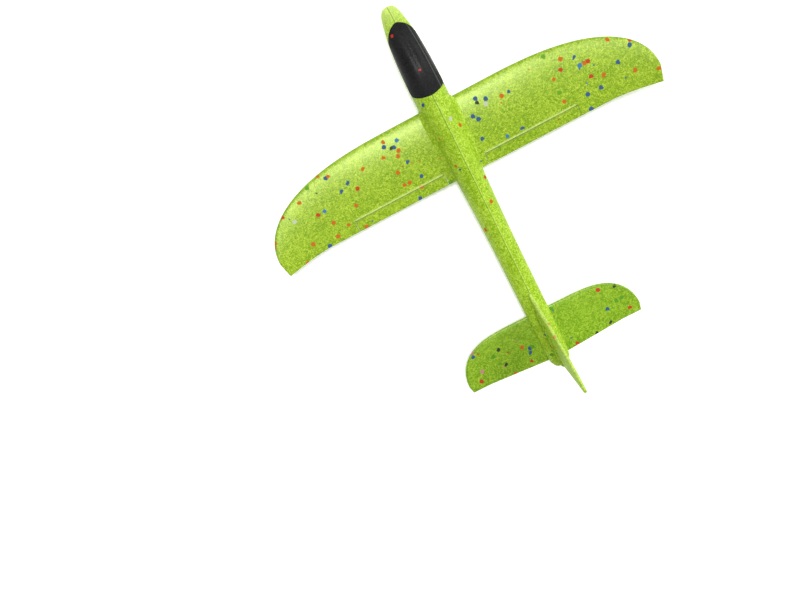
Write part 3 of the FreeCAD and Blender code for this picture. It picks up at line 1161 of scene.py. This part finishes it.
@dataclass
class Wing:
    """Main wing and its two scored strips."""

    shape: BladeShape = WING
    score: ScoreLine = ScoreLine()
    front_points: int = 44
    rear_points: int = 16
    span_rows: int = 46
    body_rows: int = 8
    notch_rows: int = 40
    strip_rows: int = 44
    wall_rows: int = 7
    # painted shade along the front edge: how far in it reaches and how it fades
    edge_shade_width: float = 1.1
    edge_shade_fade: float = 0.5
    # fade of the painted highlight beside the score line, and painted light on the strip walls seen
    # down the gap
    highlight_fade: float = 0.4
    wall_painted_light: float = 0.32
    skin_reach: float = 0.8
    skin_points: int = 9
    skin_bottom: float = 0.02
    skin_top: float = 0.45
    # painted light on the skin seen down the gap
    skin_painted_light: float = 0.6

    def rows(self) -> tuple[Array, Array]:
        """Distances across the span, and whether the strip is missing there.

        Returns:
            The distances, doubled where the strip's ends are, and a flag for each.
        """
        s = self.score
        inner, outer = s.inner_x - s.end_gap, s.outer_x + s.end_gap
        body = np.linspace(0.0, inner, self.body_rows)
        notch = np.linspace(inner, outer, self.notch_rows)
        turn = np.linspace(0.0, math.pi / 2, self.span_rows)
        panel = outer + (self.shape.half_span - self.shape.tip_margin - outer) * np.sin(turn)
        half = np.concatenate((body, notch, panel))
        missing = np.concatenate((body * 0, notch * 0 + 1, panel * 0)) > 0
        return both_sides(half), np.concatenate((missing[:0:-1], missing))

    def wing_surface(self) -> Surface:
        """The wing as loops across the span; the rear of a loop folds flat where the strip is.

        Returns:
            The surface, with its marks.
        """
        x, missing = self.rows()
        x = x[:, None]
        line = self.score.share(x, self.shape)
        chord = self.shape.rear(x) - self.shape.front(x)
        line = np.where(missing[:, None], line - self.score.gap / 2 / chord, line)
        ahead = line * (1 - np.cos(np.linspace(0, math.pi / 2, self.front_points)))[None, :]
        upper = self.shape.points(x, ahead, True)
        lower = self.shape.points(x, ahead, False)
        behind = line + (1 - line) * np.sin(np.linspace(0, math.pi / 2, self.rear_points))[None, :]
        rear_upper = self.shape.points(x, behind, True)[:, 1:]
        rear_lower = self.shape.points(x, behind, False)[:, 1:-1][:, ::-1]
        rear = np.concatenate((rear_upper, rear_lower), axis=1)
        fall = np.linspace(0, 1, rear.shape[1] + 2)[1:-1][None, :, None]
        wall = upper[:, -1:] * (1 - fall) + lower[:, -1:] * fall
        rear = np.where(missing[:, None, None], wall, rear)
        loops = np.concatenate((upper, rear, lower[:, :0:-1]), axis=1)
        return Surface(loops, self.marks(loops, x))

    def marks(self, loops: Array, x: Array) -> dict[Mark, Array]:
        """Marks painted shade along the rounded front edge, and a painted highlight beside the score
        line.

        Args:
            loops: the wing's points.
            x: distance of each loop left of the centre plane.

        Returns:
            How strong each mark is at each point.
        """
        shape, score = self.shape, self.score
        y = loops[..., 1] - (shape.station - shape.length / 2)
        # painted shade along the front edge, and a painted highlight beside the score line
        edge = np.clip((self.edge_shade_width - shape.past_front(loops, x)) / self.edge_shade_fade, 0, 1)
        along = (np.abs(loops[..., 0]) > score.inner_x) & (np.abs(loops[..., 0]) < score.outer_x)
        from_line = np.abs(shape.rear(x) - score.chord(x) - y)
        near = np.clip((score.highlight_width - from_line) / self.highlight_fade, 0, 1)
        return {Mark.EDGE: edge, Mark.CREASE: np.where(along, near, 0)}

    def strip_surface(self, side: int) -> Surface:
        """An aileron as loops from its inner end to its outer end, with a leaning front wall.

        Args:
            side: 1 for the left one, -1 for the right one.

        Returns:
            The surface, with its marks.
        """
        score, shape = self.score, self.shape
        x = side * np.linspace(score.inner_x, score.outer_x, self.strip_rows)[:, None]
        chord = shape.rear(x) - shape.front(x)
        start = score.share(x, shape) + score.gap / 2 / chord
        ends = shape.points(x, start, True)[:, 0, 2] - shape.points(x, start, False)[:, 0, 2]
        back = ends[:, None] * math.tan(math.radians(score.lean)) / chord
        rise = np.sin(np.linspace(0, math.pi / 2, self.rear_points))[None, :]
        upper = shape.points(x, start + back + (1 - start - back) * rise, True)
        lower = shape.points(x, start + (1 - start) * rise, False)
        fall = np.linspace(0, 1, self.wall_rows)[1:-1][None, :, None]
        wall = lower[:, :1] * (1 - fall) + upper[:, :1] * fall
        loops = np.concatenate((upper, lower[:, -2::-1], wall), axis=1)
        # painted light: the front wall seen down the gap is painted pale
        painted_light = np.zeros(loops.shape[:2])
        painted_light[:, -wall.shape[1]:] = self.wall_painted_light
        return Surface(loops, {Mark.CREASE: painted_light, Mark.EDGE: painted_light * 0})

    def web_surface(self, side: int) -> Surface:
        """The thin lower skin left under the score, which is what bends.

        Args:
            side: 1 for the left one, -1 for the right one.

        Returns:
            The surface, with its marks.
        """
        score, shape = self.score, self.shape
        x = side * np.linspace(score.inner_x, score.outer_x, self.strip_rows)[:, None]
        across = np.linspace(-self.skin_reach, self.skin_reach, self.skin_points)[None, :]
        chord = shape.rear(x) - shape.front(x)
        low = shape.points(x, score.share(x, shape) + across / chord, False)
        top = (low + (0, 0, self.skin_top))[:, ::-1]
        skin = np.concatenate((low + (0, 0, self.skin_bottom), top), axis=1)
        # painted light: the skin seen down the gap is painted pale
        ones = np.ones(skin.shape[:2])
        return Surface(skin, {Mark.CREASE: ones * self.skin_painted_light, Mark.EDGE: ones * 0})

    def build(self, finish: bpy.types.Material) -> None:
        """Makes the wing, its strips and the skins under the score; sets what wing and strips ride on.

        Args:
            finish: the foam.
        """
        wing = self.wing_surface().piece("wing")
        dress(wing, finish, Body.AIRFRAME, "main_wing")
        for side, body in ((1, Body.LEFT_AILERON), (-1, Body.RIGHT_AILERON)):
            strip = self.strip_surface(side).piece(body.value + "_strip")
            dress(strip, finish, body, body.value)
            web = self.web_surface(side).piece(body.value + "_skin")
            web.data.materials.append(finish)
            middle = (self.score.inner_x + self.score.outer_x) / 2
            x = np.array([[side * middle]])
            at = self.shape.points(x, self.score.share(x, self.shape), False)[0, 0] * MM
            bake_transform(web)
            report(web)


@dataclass
class Tailplane:
    """The tailplane, which slides out of its slot."""

    shape: BladeShape = TAIL
    points_across: int = 46
    span_rows: int = 60
    # painted shade line behind the front edge, standing for a moulded bevel: its place, width and
    # strength
    shade_line_place: float = 2.0
    shade_line_width: float = 0.6
    shade_line_strength: float = 1.3

    def surface(self) -> Surface:
        """The tailplane as loops across the span, with painted shade just behind its front edge.

        Returns:
            The surface, with its marks.
        """
        shape = self.shape
        turn = np.linspace(0, math.pi / 2, self.span_rows)
        x = both_sides((shape.half_span - shape.tip_margin) * np.sin(turn))[:, None]
        share = spread(0, 1, self.points_across)[None, :] + 0 * x
        upper = shape.points(x, share, True)
        lower = shape.points(x, share, False)
        loops = np.concatenate((upper, lower[:, -2:0:-1]), axis=1)
        # painted shade: a dark line just behind the front edge
        from_line = np.abs(shape.past_front(loops, x) - self.shade_line_place)
        edge = np.clip(self.shade_line_strength - from_line / self.shade_line_width, 0, 1)
        return Surface(loops, {Mark.EDGE: edge, Mark.CREASE: edge * 0})

    def build(self, finish: bpy.types.Material) -> None:
        """Makes the tailplane."""
        dress(self.surface().piece("tailplane_foam"), finish, Body.TAILPLANE, "tailplane")


# ---------------------------------------------------------------- fuselage and canopy


@dataclass
class Fuselage:
    """Two bonded foam halves and the canopy that sits in their seat."""

    length: float = 461.0
    # station, half width, belly height, widest height, spine height
    table: tuple = (
        (0.0, 3.6, 10.6, 14.6, 18.8),
        (2.2, 7.2, 7.6, 14.8, 21.4),
        (8.0, 10.6, 4.4, 15.4, 24.6),
        (20.0, 13.4, 2.2, 16.2, 28.2),
        (40.0, 16.8, 0.6, 17.4, 33.8),
        (75.0, 19.0, 0.0, 18.8, 40.8),
        (106.0, 19.4, 0.0, 19.4, 43.4),
        (160.0, 18.4, 0.0, 19.4, 41.4),
        (206.0, 16.6, 0.0, 19.0, 38.9),
        (250.0, 15.2, 0.0, 18.6, 36.6),
        (310.0, 14.3, 2.8, 18.2, 33.4),
        (370.0, 14.2, 5.8, 17.6, 30.2),
        (430.0, 13.8, 7.6, 17.2, 28.0),
        (450.0, 12.6, 8.6, 17.0, 26.6),
        (458.0, 8.8, 10.6, 17.0, 23.8),
        (461.0, 4.6, 13.0, 17.0, 21.2),
    )
    belly_half_width: float = 6.0
    belly_share: float = 0.36
    ridge_drop: float = 0.10
    fullness: float = 0.62
    ridge_pole: float = 0.52
    groove_depth: float = 0.45
    groove_width: float = 0.7
    nose_round: float = 1.6
    tail_round: float = 2.4
    canopy_front: float = 19.9
    canopy_front_height: float = 28.1
    canopy_front_bulge: float = 0.6
    canopy_rear: float = 106.3
    canopy_rear_height: float = 43.6
    seat_front: float = 37.0
    seat_rear: float = 96.0
    seat_height: float = 19.6
    seat_corner: float = 7.0
    canopy_gap: float = 0.12
    canopy_proud: float = 0.25
    canopy_edge_round: float = 0.8
    # painted highlight of the canopy's trim line on the lit right side: place and width across the
    # half width
    trim_highlight_place: float = 0.70
    trim_highlight_width: float = 0.022
    halvings: int = 40
    front_rows: tuple = (17.0, 40)
    rear_rows: tuple = (-16.0, 42)
    nose_rows: tuple = (8.0, 26)
    tail_rows: tuple = (-9.0, 26)
    row_gap: float = 1.6
    canopy_row_gap: float = 1.5
    skin_points: int = 56
    edge_sink: float = 0.3
    edge_sink_width: float = 0.5
    # painted highlight over the nose: how far back it reaches and how strong it is
    nose_highlight_reach: float = 24.0
    nose_highlight: float = 0.34
    # station, radius of the rounding over the spine
    ridge_table: tuple = ((0.0, 11.0), (107.0, 11.0), (160.0, 1.0), (461.0, 1.0))
    # station, share of the fairing lip's full size
    lip_table: tuple = ((113.0, 0.0), (115.0, 0.38), (118.0, 0.66), (123.0, 0.9), (130.0, 1.0),
                        (156.0, 1.0), (170.0, 0.95), (184.0, 0.85), (196.0, 0.7), (204.0, 0.5))
    lip_width: float = 4.0
    lip_rise: float = 7.5
    lip_root: float = 1.6
    wing: BladeShape = WING

    def measure(self, stations: Array) -> tuple[Array, ...]:
        """Half width, belly, widest and spine heights at each station."""
        knots = [row[0] for row in self.table]
        return tuple(through(knots, [row[i] for row in self.table], stations) for i in range(1, 5))

    def cut_height(self, stations: Array, inset: float) -> Array:
        """Height of the canopy's underside: bowed at the front, flat, then up a rounded corner.

        Args:
            stations: stations of the rows.
            inset: how far the canopy is drawn in from its seat.

        Returns:
            The height, or a great height where there is no canopy.
        """
        front, rear = self.canopy_front + inset, self.canopy_rear - inset
        floor = self.seat_height + inset
        run = self.seat_front + inset - front
        share = np.clip((stations - front) / run, 0, 1)
        nose = self.canopy_front_height + (floor - self.canopy_front_height) * share
        nose = nose + 4 * self.canopy_front_bulge * share * (1 - share)
        corner, radius = self.seat_rear - inset, self.seat_corner
        slope = (self.canopy_rear_height - floor) / (rear - corner)
        start = corner - radius * math.tan(math.atan(slope) / 2)
        past = np.clip(stations - start, 0, radius * math.sin(math.atan(slope)))
        tail = floor + radius - np.sqrt(radius ** 2 - past ** 2)
        tail = tail + slope * (np.clip(stations - start, 0, None) - past)
        height = np.where(stations < self.seat_front + inset, nose, tail)
        outside = (stations <= front) | (stations >= rear)
        return np.where(outside, 1e3, height)

    def poles(self, stations: Array) -> tuple[Array, Array, Array]:
        """Bezier poles of the low side and the high side of each section, and the belly height.

        Args:
            stations: stations of the rows.

        Returns:
            The low poles, the high poles and the belly heights.
        """
        width, belly, widest, spine = self.measure(stations)
        land = np.minimum(self.belly_half_width, self.belly_share * width)
        ridge = self.ridge_drop * width
        low = [(land, belly), (land + self.fullness * (width - land), belly)]
        low += [(width, widest - self.fullness * (widest - belly)), (width, widest)]
        high = [(width, widest), (width, widest + self.fullness * (spine - widest))]
        high += [(self.ridge_pole * width, spine - ridge), (0 * width, spine)]
        low_poles, high_poles = (
            np.stack([np.stack(pair, axis=-1) for pair in rows], axis=1) for rows in (low, high)
        )
        return low_poles, high_poles, belly

    def share_at_height(self, high: Array, height: Array) -> Array:
        """Where the high side of each section reaches a height, found by halving.

        Args:
            high: poles of the high side.
            height: the height in each section.

        Returns:
            How far along each curve the height is reached.
        """
        low_end, high_end = np.zeros(len(high)), np.ones(len(high))
        for _ in range(self.halvings):
            middle = (low_end + high_end) / 2
            below = bezier(high, middle[:, None])[:, 0, 1] < height
            low_end, high_end = np.where(below, middle, low_end), np.where(below, high_end, middle)
        return (low_end + high_end) / 2

    def soften(self, stations: Array, flat: Array) -> Array:
        """Rounds the ridge: lowers the top by its slope times the rise of a hyperbola over its legs.

        Args:
            stations: stations of the rows.
            flat: (x, z) points of the rows.

        Returns:
            The new z of each point.
        """
        slope = self.ridge_drop / self.ridge_pole
        width = self.measure(stations)[0]
        radius = through(*zip(*self.ridge_table), stations)[:, None]
        x = np.abs(flat[..., 0])
        near = np.clip(1 - x / (0.9 * width[:, None]), 0, 1)
        return flat[..., 1] - slope * (np.sqrt(x * x + radius ** 2) - x) * near

    def lip(self, stations: Array, skin: Array) -> Array:
        """Sideways place of the high side of each section, carried out onto the wing's upper skin.

        Args:
            stations: stations of the rows.
            skin: (x, z) points of the high side, shaped (rows, columns, 2).

        Returns:
            The new x of each point.
        """
        wing = self.wing
        share = np.clip((stations - wing.station) / wing.chord, 0.01, 1.0)
        bulge = (wing.thickness - wing.edge) / 2 * swell(share)
        top = (wing.height + wing.edge / 2 + (1 + wing.camber) * bulge)[:, None]
        knots, sizes = zip(*self.lip_table)
        beyond = (stations < knots[0]) | (stations > wing.station + wing.chord)
        size = np.where(beyond, 0, through(knots, sizes, stations))[:, None]
        wall = self.measure(stations)[0][:, None]
        up = np.clip((skin[..., 1] - top) / np.maximum(self.lip_rise * size, 0.01), 0, 1)
        side = wall - self.lip_root * (1 - size) + self.lip_width * size * (1 - up) ** 2.2
        side = side - (self.lip_root + 0.25 * self.lip_rise) * size * up
        return np.where((size > 0) & (up < 1), np.maximum(skin[..., 0], side), skin[..., 0])

    def stations(self) -> Array:
        """Stations of the rows: even, but crowded at both ends and at the canopy's edges.

        Returns:
            The stations in rising order.
        """
        near_front = crowded(self.canopy_front, *self.front_rows)
        near_rear = crowded(self.canopy_rear, *self.rear_rows)
        even = np.arange(9.0, self.length - 9, self.row_gap)
        even = even[(even < self.canopy_front) | (even > near_front[-1])]
        even = even[(even < near_rear[-1]) | (even > self.canopy_rear)]
        ends = (crowded(0.0, *self.nose_rows), crowded(self.length, *self.tail_rows))
        return np.unique(np.concatenate((*ends, even, near_front, near_rear)).round(4))

    def ends_round(self, stations: Array) -> Array:
        """Share of the section left at each station, closing the nose and tail to a point."""
        return rounded(stations, self.nose_round) * rounded(self.length - stations, self.tail_round)

    def solid_points(self, stations: Array, flat: Array) -> Array:
        """Stations and flat (x, z) points as points in the frame, drawn in at both ends.

        Args:
            stations: stations of the rows.
            flat: (x, z) points of the rows.

        Returns:
            The points.
        """
        widest = self.measure(stations)[2]
        keep = self.ends_round(stations)[:, None]
        x = flat[..., 0] * keep
        z = widest[:, None] + (flat[..., 1] - widest[:, None]) * keep
        y = np.broadcast_to((stations - self.length / 2)[:, None], x.shape)
        return np.stack((x, y, z), axis=-1)

    def half_surface(self, side: int) -> Surface:
        """One half: canopy seat, skin, belly and the flat face on the centre plane, as loops.

        Args:
            side: 1 for the left half, -1 for the right one.

        Returns:
            The surface, with its marks.
        """
        stations = self.stations()
        low, high, belly = self.poles(stations)
        spine = self.measure(stations)[3]
        cut = np.minimum(self.cut_height(stations, 0.0), spine)
        top = self.share_at_height(high, cut)
        top = np.where(cut >= spine, 1.0, top)
        fall = (1 - np.linspace(0, 1, self.skin_points))[None, :]
        skin = bezier(high, top[:, None] * fall)
        ledge = skin[:, -1:].copy()
        skin[..., 0] = self.lip(stations, skin)
        skin[..., 1] = self.soften(stations, skin)
        under = bezier(low, np.linspace(1, 0, 26)[None, 1:] + 0 * top[:, None])
        seat = skin[:, :1] * np.linspace(0, 1, 10)[None, :-1, None]
        seat[..., 1] = skin[:, :1, 1]
        flat = np.stack((np.linspace(1, 0, 8)[None, 1:] * under[:, -1:, 0],
                         np.broadcast_to(belly[:, None], (len(belly), 7))), axis=-1)
        rise = np.linspace(0, 1, 10)[None, 1:-1]
        inner = np.stack((0 * rise + 0 * belly[:, None],
                          belly[:, None] * (1 - rise) + skin[:, :1, 1] * rise), axis=-1)
        loop = np.concatenate((seat, skin, ledge, under, flat, inner), axis=1)
        groove = self.groove_depth * np.exp(-((loop[..., 0] / self.groove_width) ** 2))
        middle = (belly + spine)[:, None] / 2
        on_skin = np.ones(loop.shape[1])
        on_skin[-inner.shape[1]:] = 0
        pull = np.where(loop[..., 1] > middle, -1, 1) * groove * on_skin
        seated = (cut < spine)[:, None] & (loop[..., 1] > middle)
        loop[..., 1] += np.where(seated, 0, pull)
        points = self.solid_points(stations, loop)
        points[..., 0] *= side
        # painted highlight: the nose is painted paler over its first stations
        near_nose = np.clip(1.3 - stations / self.nose_highlight_reach, 0, 1)[:, None]
        nose_highlight_share = self.nose_highlight * near_nose + 0 * loop[..., 0]
        return Surface(points, {Mark.CREASE: nose_highlight_share, Mark.EDGE: nose_highlight_share * 0})

    def canopy_surface(self) -> Surface:
        """The canopy: skin from edge to edge, and a flat underside, as loops that close to points.

        Returns:
            The surface, with the painted highlight of its trim line marked.
        """
        inset = self.canopy_gap
        front, rear = self.canopy_front + inset, self.canopy_rear - inset
        near_front = crowded(front, *self.front_rows)
        near_rear = crowded(rear, self.rear_rows[0], self.front_rows[1])
        gap = self.canopy_row_gap
        even = np.arange(near_front[-1] + gap, near_rear[-1], gap)
        stations = np.unique(np.concatenate((near_front, even, near_rear)).round(4))
        _, high, _ = self.poles(stations)
        spine = self.measure(stations)[3]
        cut = np.minimum(self.cut_height(stations, inset), spine)
        top = np.where(cut >= spine, 1.0, self.share_at_height(high, cut))
        step = spread(0, 1, 81)[None, :]
        skin = bezier(high, top[:, None] + (1 - top[:, None]) * step)
        skin[..., 1] = self.soften(stations, skin)
        right = skin[:, :-1][:, ::-1] * (-1, 1)
        over = np.concatenate((skin, right), axis=1)
        under = over[:, -1:] + (over[:, :1] - over[:, -1:]) * np.linspace(0, 1, 22)[None, 1:-1, None]
        proud = self.proud(stations, over)
        turn = np.arctan2(over[..., 1] - self.seat_height + 6, over[..., 0])
        over = over + proud[..., None] * np.stack((np.cos(turn), np.sin(turn)), axis=-1)
        loop = np.concatenate((over, under), axis=1)
        y = np.broadcast_to((stations - self.length / 2)[:, None], loop.shape[:2])
        # painted highlight along the trim line, on the lit right side only
        across = -loop[..., 0] / self.measure(stations)[0][:, None]
        trim_highlight = np.exp(-(((across - self.trim_highlight_place) / self.trim_highlight_width) ** 2))
        return Surface(np.stack((loop[..., 0], y, loop[..., 1]), axis=-1), {Mark.CREASE: trim_highlight})

    def proud(self, stations: Array, over: Array) -> Array:
        """How far the canopy's skin stands above the foam around it, rounded off at its edge.

        Args:
            stations: stations of the rows.
            over: (x, z) points of the skin.

        Returns:
            The height at each point, negative right at the edge.
        """
        y = np.broadcast_to(stations[:, None], over.shape[:2])
        along = np.stack((over[..., 0], y, over[..., 1]), axis=-1)
        edge = np.concatenate((along[:, 0], along[::-1, -1]))
        gaps = np.sqrt(((along[:, :, None] - edge[None, None, ::3]) ** 2).sum(-1)).min(-1)
        sunk = self.edge_sink * (1 - rounded(gaps, self.edge_sink_width))
        return self.canopy_proud * rounded(gaps, self.canopy_edge_round) - sunk

    def build(
        self,
        foam: bpy.types.Material,
        skin: bpy.types.Material,
        cutters: Sequence[bpy.types.Object],
    ) -> None:
        """Makes both halves and the canopy.

        Args:
            foam: finish of the halves.
            skin: finish of the canopy.
            cutters: shapes cut out of both halves.
        """
        for side, node in ((1, "fuselage_left_half"), (-1, "fuselage_right_half")):
            half = self.half_surface(side).piece(node.replace("fuselage", "foam"))
            cut_out(half, cutters)
            dress(half, foam, Body.AIRFRAME, node)
        cover = self.canopy_surface().piece("canopy_cover")
        dress(cover, skin, Body.AIRFRAME, "canopy")


# ---------------------------------------------------------------- fin


@dataclass
class Fin:
    """Blade between the halves, with a rail on each side over the upper tailplane slot."""

    length: float = 461.0
    thickness: float = 4.6
    foot_height: float = 20.0
    leading: tuple = ((20.0, 357.8), (27.0, 358.2), (33.4, 358.8), (38.6, 364.4), (54.6, 373.0),
                      (88.0, 395.0), (114.6, 419.0), (128.4, 440.0), (131.6, 453.0))
    trailing: tuple = ((20.0, 457.0), (27.0, 457.6), (46.0, 456.2), (72.0, 455.6), (100.0, 457.6),
                       (125.0, 458.6), (130.2, 457.2), (131.6, 453.6))
    edge_radius: float = 1.7
    tip_thinning: float = 0.25
    rail_out: float = 2.4
    rail_low: float = 32.6
    rail_high: float = 40.0
    rail_front: float = 383.0
    rail_rear: float = 455.5
    rail_front_round: float = 9.0
    rail_rear_round: float = 3.0
    rail_top_round: float = 2.2
    foot_round: float = 0.4
    thinning_start: float = 60.0
    thinning_reach: float = 70.0
    slope_step: float = 0.1
    tip_height: float = 131.6
    # painted highlight along the front edge: its width and strength
    highlight_width: float = 1.4
    highlight_strength: float = 0.25
    slot_height: float = 32.6

    def edge(self, table: tuple, z: Array) -> Array:
        """Station of an edge at each height, by a smooth line through its table."""
        return through(*zip(*table), z)

    def lean(self, table: tuple, z: Array) -> Array:
        """Slope of an edge at each height, from its change over a short step."""
        step = self.slope_step
        return (self.edge(table, z + step) - self.edge(table, z - step)) / (2 * step)

    def half_depth(self, station: Array, z: Array, front: Array, rear: Array) -> Array:
        """Half thickness of the blade and its rail, rounded at every edge.

        Args:
            station: station of each point.
            z: height of each row.
            front: station of the front edge in each row.
            rear: station of the rear edge in each row.

        Returns:
            Half the thickness at each point.
        """
        from_front = (station - front) / np.sqrt(1 + self.lean(self.leading, z) ** 2)
        from_rear = (rear - station) / np.sqrt(1 + self.lean(self.trailing, z) ** 2)
        up = np.clip((z - self.thinning_start) / self.thinning_reach, 0, 1)
        base = self.thickness / 2 * (1 - self.tip_thinning * up)
        edges = rounded(from_front, self.edge_radius) * rounded(from_rear, self.edge_radius)
        edges = edges * rounded(z - self.foot_height, self.foot_round)
        rail = rounded(station - self.rail_front, self.rail_front_round)
        rail = rail * rounded(self.rail_rear - station, self.rail_rear_round)
        rail = rail * rounded(self.rail_high - z, self.rail_top_round) * (z > self.rail_low)
        return base * edges + self.rail_out * rail

    def surface(self) -> Surface:
        """The fin as loops at rising heights, each round the blade from front to rear.

        Returns:
            The surface, with a painted highlight marked along its front edge.
        """
        low = np.linspace(self.foot_height, self.rail_low - 0.04, 16)
        rail = np.linspace(self.rail_low + 0.04, 41.0, 34)
        blade = np.linspace(42.0, 124.0, 60)
        # rows crowd towards the tip by a square law
        tip = self.tip_height - 7.4 * (1 - np.linspace(0.02, 1, 24)) ** 2
        z = np.concatenate((low, rail, blade, tip))[:, None]
        front, rear = self.edge(self.leading, z), self.edge(self.trailing, z)
        share = spread(0, 1, 74)[None, :]
        station = front + share * (rear - front)
        half = self.half_depth(station, z, front, rear)
        y = station - self.length / 2
        left = np.stack(np.broadcast_arrays(half, y, z), axis=-1)
        right = np.stack(np.broadcast_arrays(-half, y, z), axis=-1)
        loops = np.concatenate((left, right[:, -2:0:-1]), axis=1)
        from_front = np.concatenate((station - front, (station - front)[:, -2:0:-1]), axis=1)
        # painted highlight along the front edge
        painted_light = np.clip(self.highlight_width - from_front, 0, 1) * self.highlight_strength
        return Surface(loops, {Mark.EDGE: painted_light * 0, Mark.CREASE: painted_light})

    def build(self, foam: bpy.types.Material, cutters: Sequence[bpy.types.Object]) -> None:
        """Makes the fin and cuts its slot.

        Args:
            foam: the finish.
            cutters: shapes cut out of the fin.
        """
        fin = self.surface().piece("fin_blade")
        cut_out(fin, cutters)
        dress(fin, foam, Body.AIRFRAME, "tail_fin")


# ---------------------------------------------------------------- staging


def report(piece: bpy.types.Object) -> None:
    """Logs a finished piece and its size."""
    log.info("%s: %d faces", piece.name, len(piece.data.polygons))


def dress(
    piece: bpy.types.Object, finish: bpy.types.Material, body: Body, node: str
) -> None:
    """Gives a piece its finish and its body, and hides the CAD node that it stands for.

    Args:
        piece: the finished mesh.
        finish: its material.
        body: the body that it rides on.
        node: the CAD node that it replaces.
    """
    piece.data.materials.clear()
    piece.data.materials.append(finish)
    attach(piece, body.value)
    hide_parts(node)
    report(piece)


@dataclass(frozen=True)
class Studio:
    """Pale floor, a soft light overhead, another from the right, and the camera above the wing."""

    camera_place: tuple = (64.7, -121.8, 914.7)
    camera_turn: tuple = (-12.66, -1.408, 152.479)
    focal: float = 35.0
    sensor: float = 36.0
    # metres, past the floor's far edge
    sight: float = 60.0
    floor_half: float = 20000.0
    floor_drop: float = 0.2
    floor_colour: tuple = (0.9, 0.9, 0.9)
    floor_roughness: float = 0.9
    floor_glow: float = 0.30
    sky: float = 0.34
    horizon: float = 1.02
    horizon_band: tuple = (0.10, 0.36)
    # name, direction it comes from, strength, width in degrees
    lamps: tuple = (
        ("overhead", (-0.04, -0.25, 1.0), 2.1, 15.0),
        ("right_side", (-0.78, -0.12, 0.62), 1.7, 44.0),
    )

    def floor(self) -> None:
        """A large plain floor just under the belly, lit a little from below like a light table."""
        r, z = self.floor_half * MM, -self.floor_drop * MM
        mesh = bpy.data.meshes.new("floor")
        mesh.from_pydata([(-r, -r, z), (r, -r, z), (r, r, z), (-r, r, z)], [], [(0, 1, 2, 3)])
        floor = bpy.data.objects.new("floor", mesh)
        bpy.context.scene.collection.objects.link(floor)
        material, _, shader = new_material("pale_floor")
        shader.inputs["Base Color"].default_value = (*self.floor_colour, 1.0)
        shader.inputs["Roughness"].default_value = self.floor_roughness
        shader.inputs["Emission Color"].default_value = (1.0, 1.0, 1.0, 1.0)
        shader.inputs["Emission Strength"].default_value = self.floor_glow
        mesh.materials.append(material)

    def light(self) -> None:
        """Even sky that brightens down to the floor's horizon, and the two soft lights."""
        world = bpy.data.worlds.new("studio")
        world.use_nodes = True
        w = Wiring(world.node_tree)
        background = world.node_tree.nodes["Background"]
        background.inputs["Color"].default_value = (1.0, 1.0, 1.0, 1.0)
        height = w.split(w.node("ShaderNodeTexCoord").outputs["Generated"])[2]
        fade = w.band(height, *self.horizon_band, (self.horizon, self.sky))
        w.feed(background.inputs["Strength"], fade)
        bpy.context.scene.world = world
        for name, direction, strength, width in self.lamps:
            lamp = bpy.data.lights.new(name, "SUN")
            lamp.energy = strength
            lamp.angle = math.radians(width)
            light = bpy.data.objects.new(name, lamp)
            light.rotation_euler = (-Vector(direction)).to_track_quat("-Z", "Y").to_euler()
            bpy.context.scene.collection.objects.link(light)

    def camera(self) -> None:
        """Camera above the wing, a little behind the nose, turned so that the nose is up left."""
        data = bpy.data.cameras.new("camera")
        data.lens = self.focal
        data.sensor_width = self.sensor
        data.clip_end = self.sight
        camera = bpy.data.objects.new("camera", data)
        camera.location = Vector(self.camera_place) * MM
        camera.rotation_euler = tuple(math.radians(a) for a in self.camera_turn)
        bpy.context.scene.collection.objects.link(camera)
        bpy.context.scene.camera = camera

    def build(self) -> None:
        """Sets up the whole studio."""
        bpy.context.scene.view_settings.view_transform = "Standard"
        self.floor()
        self.light()
        self.camera()


def main() -> None:
    """Builds the glider piece by piece and sets up the studio."""
    logging.basicConfig(level=logging.INFO, format="%(message)s")
    Studio().build()
    flat_beads = BeadPattern().group("pressed_beads_flat", "2D")
    round_beads = BeadPattern().group("pressed_beads_round", "3D")
    foam = LIME.material(flat_beads)
    body = LIME_BODY.material(round_beads)
    fin_foam = LIME_FIN.material(round_beads)
    # the tailplane's foam is painted darker, as shade
    shaded_tail_foam = LIME_TAIL_SHADED.material(flat_beads)
    skin = SkinFinish().material(round_beads)
    steel = SteelFinish().material()
    Wing().build(foam)
    Tailplane().build(shaded_tail_foam)
    wing_slot = WING.slot(WING.height, 0.0, 30.0)
    low_slot = TAIL.slot(TAIL.height, 0.3, 30.0)
    fin = Fin()
    recess = fin.surface().piece("recess_cutter")
    Fuselage().build(body, skin, (wing_slot, low_slot, recess))
    high_slot = TAIL.slot(fin.slot_height, 0.3, 30.0)
    fin.build(fin_foam, (high_slot,))
    discard((wing_slot, low_slot, recess, high_slot))
    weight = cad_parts["nose_weight"]
    weight.data.materials.clear()
    weight.data.materials.append(steel)
    report(weight)
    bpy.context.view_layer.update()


if __name__ == "__main__":
    main()
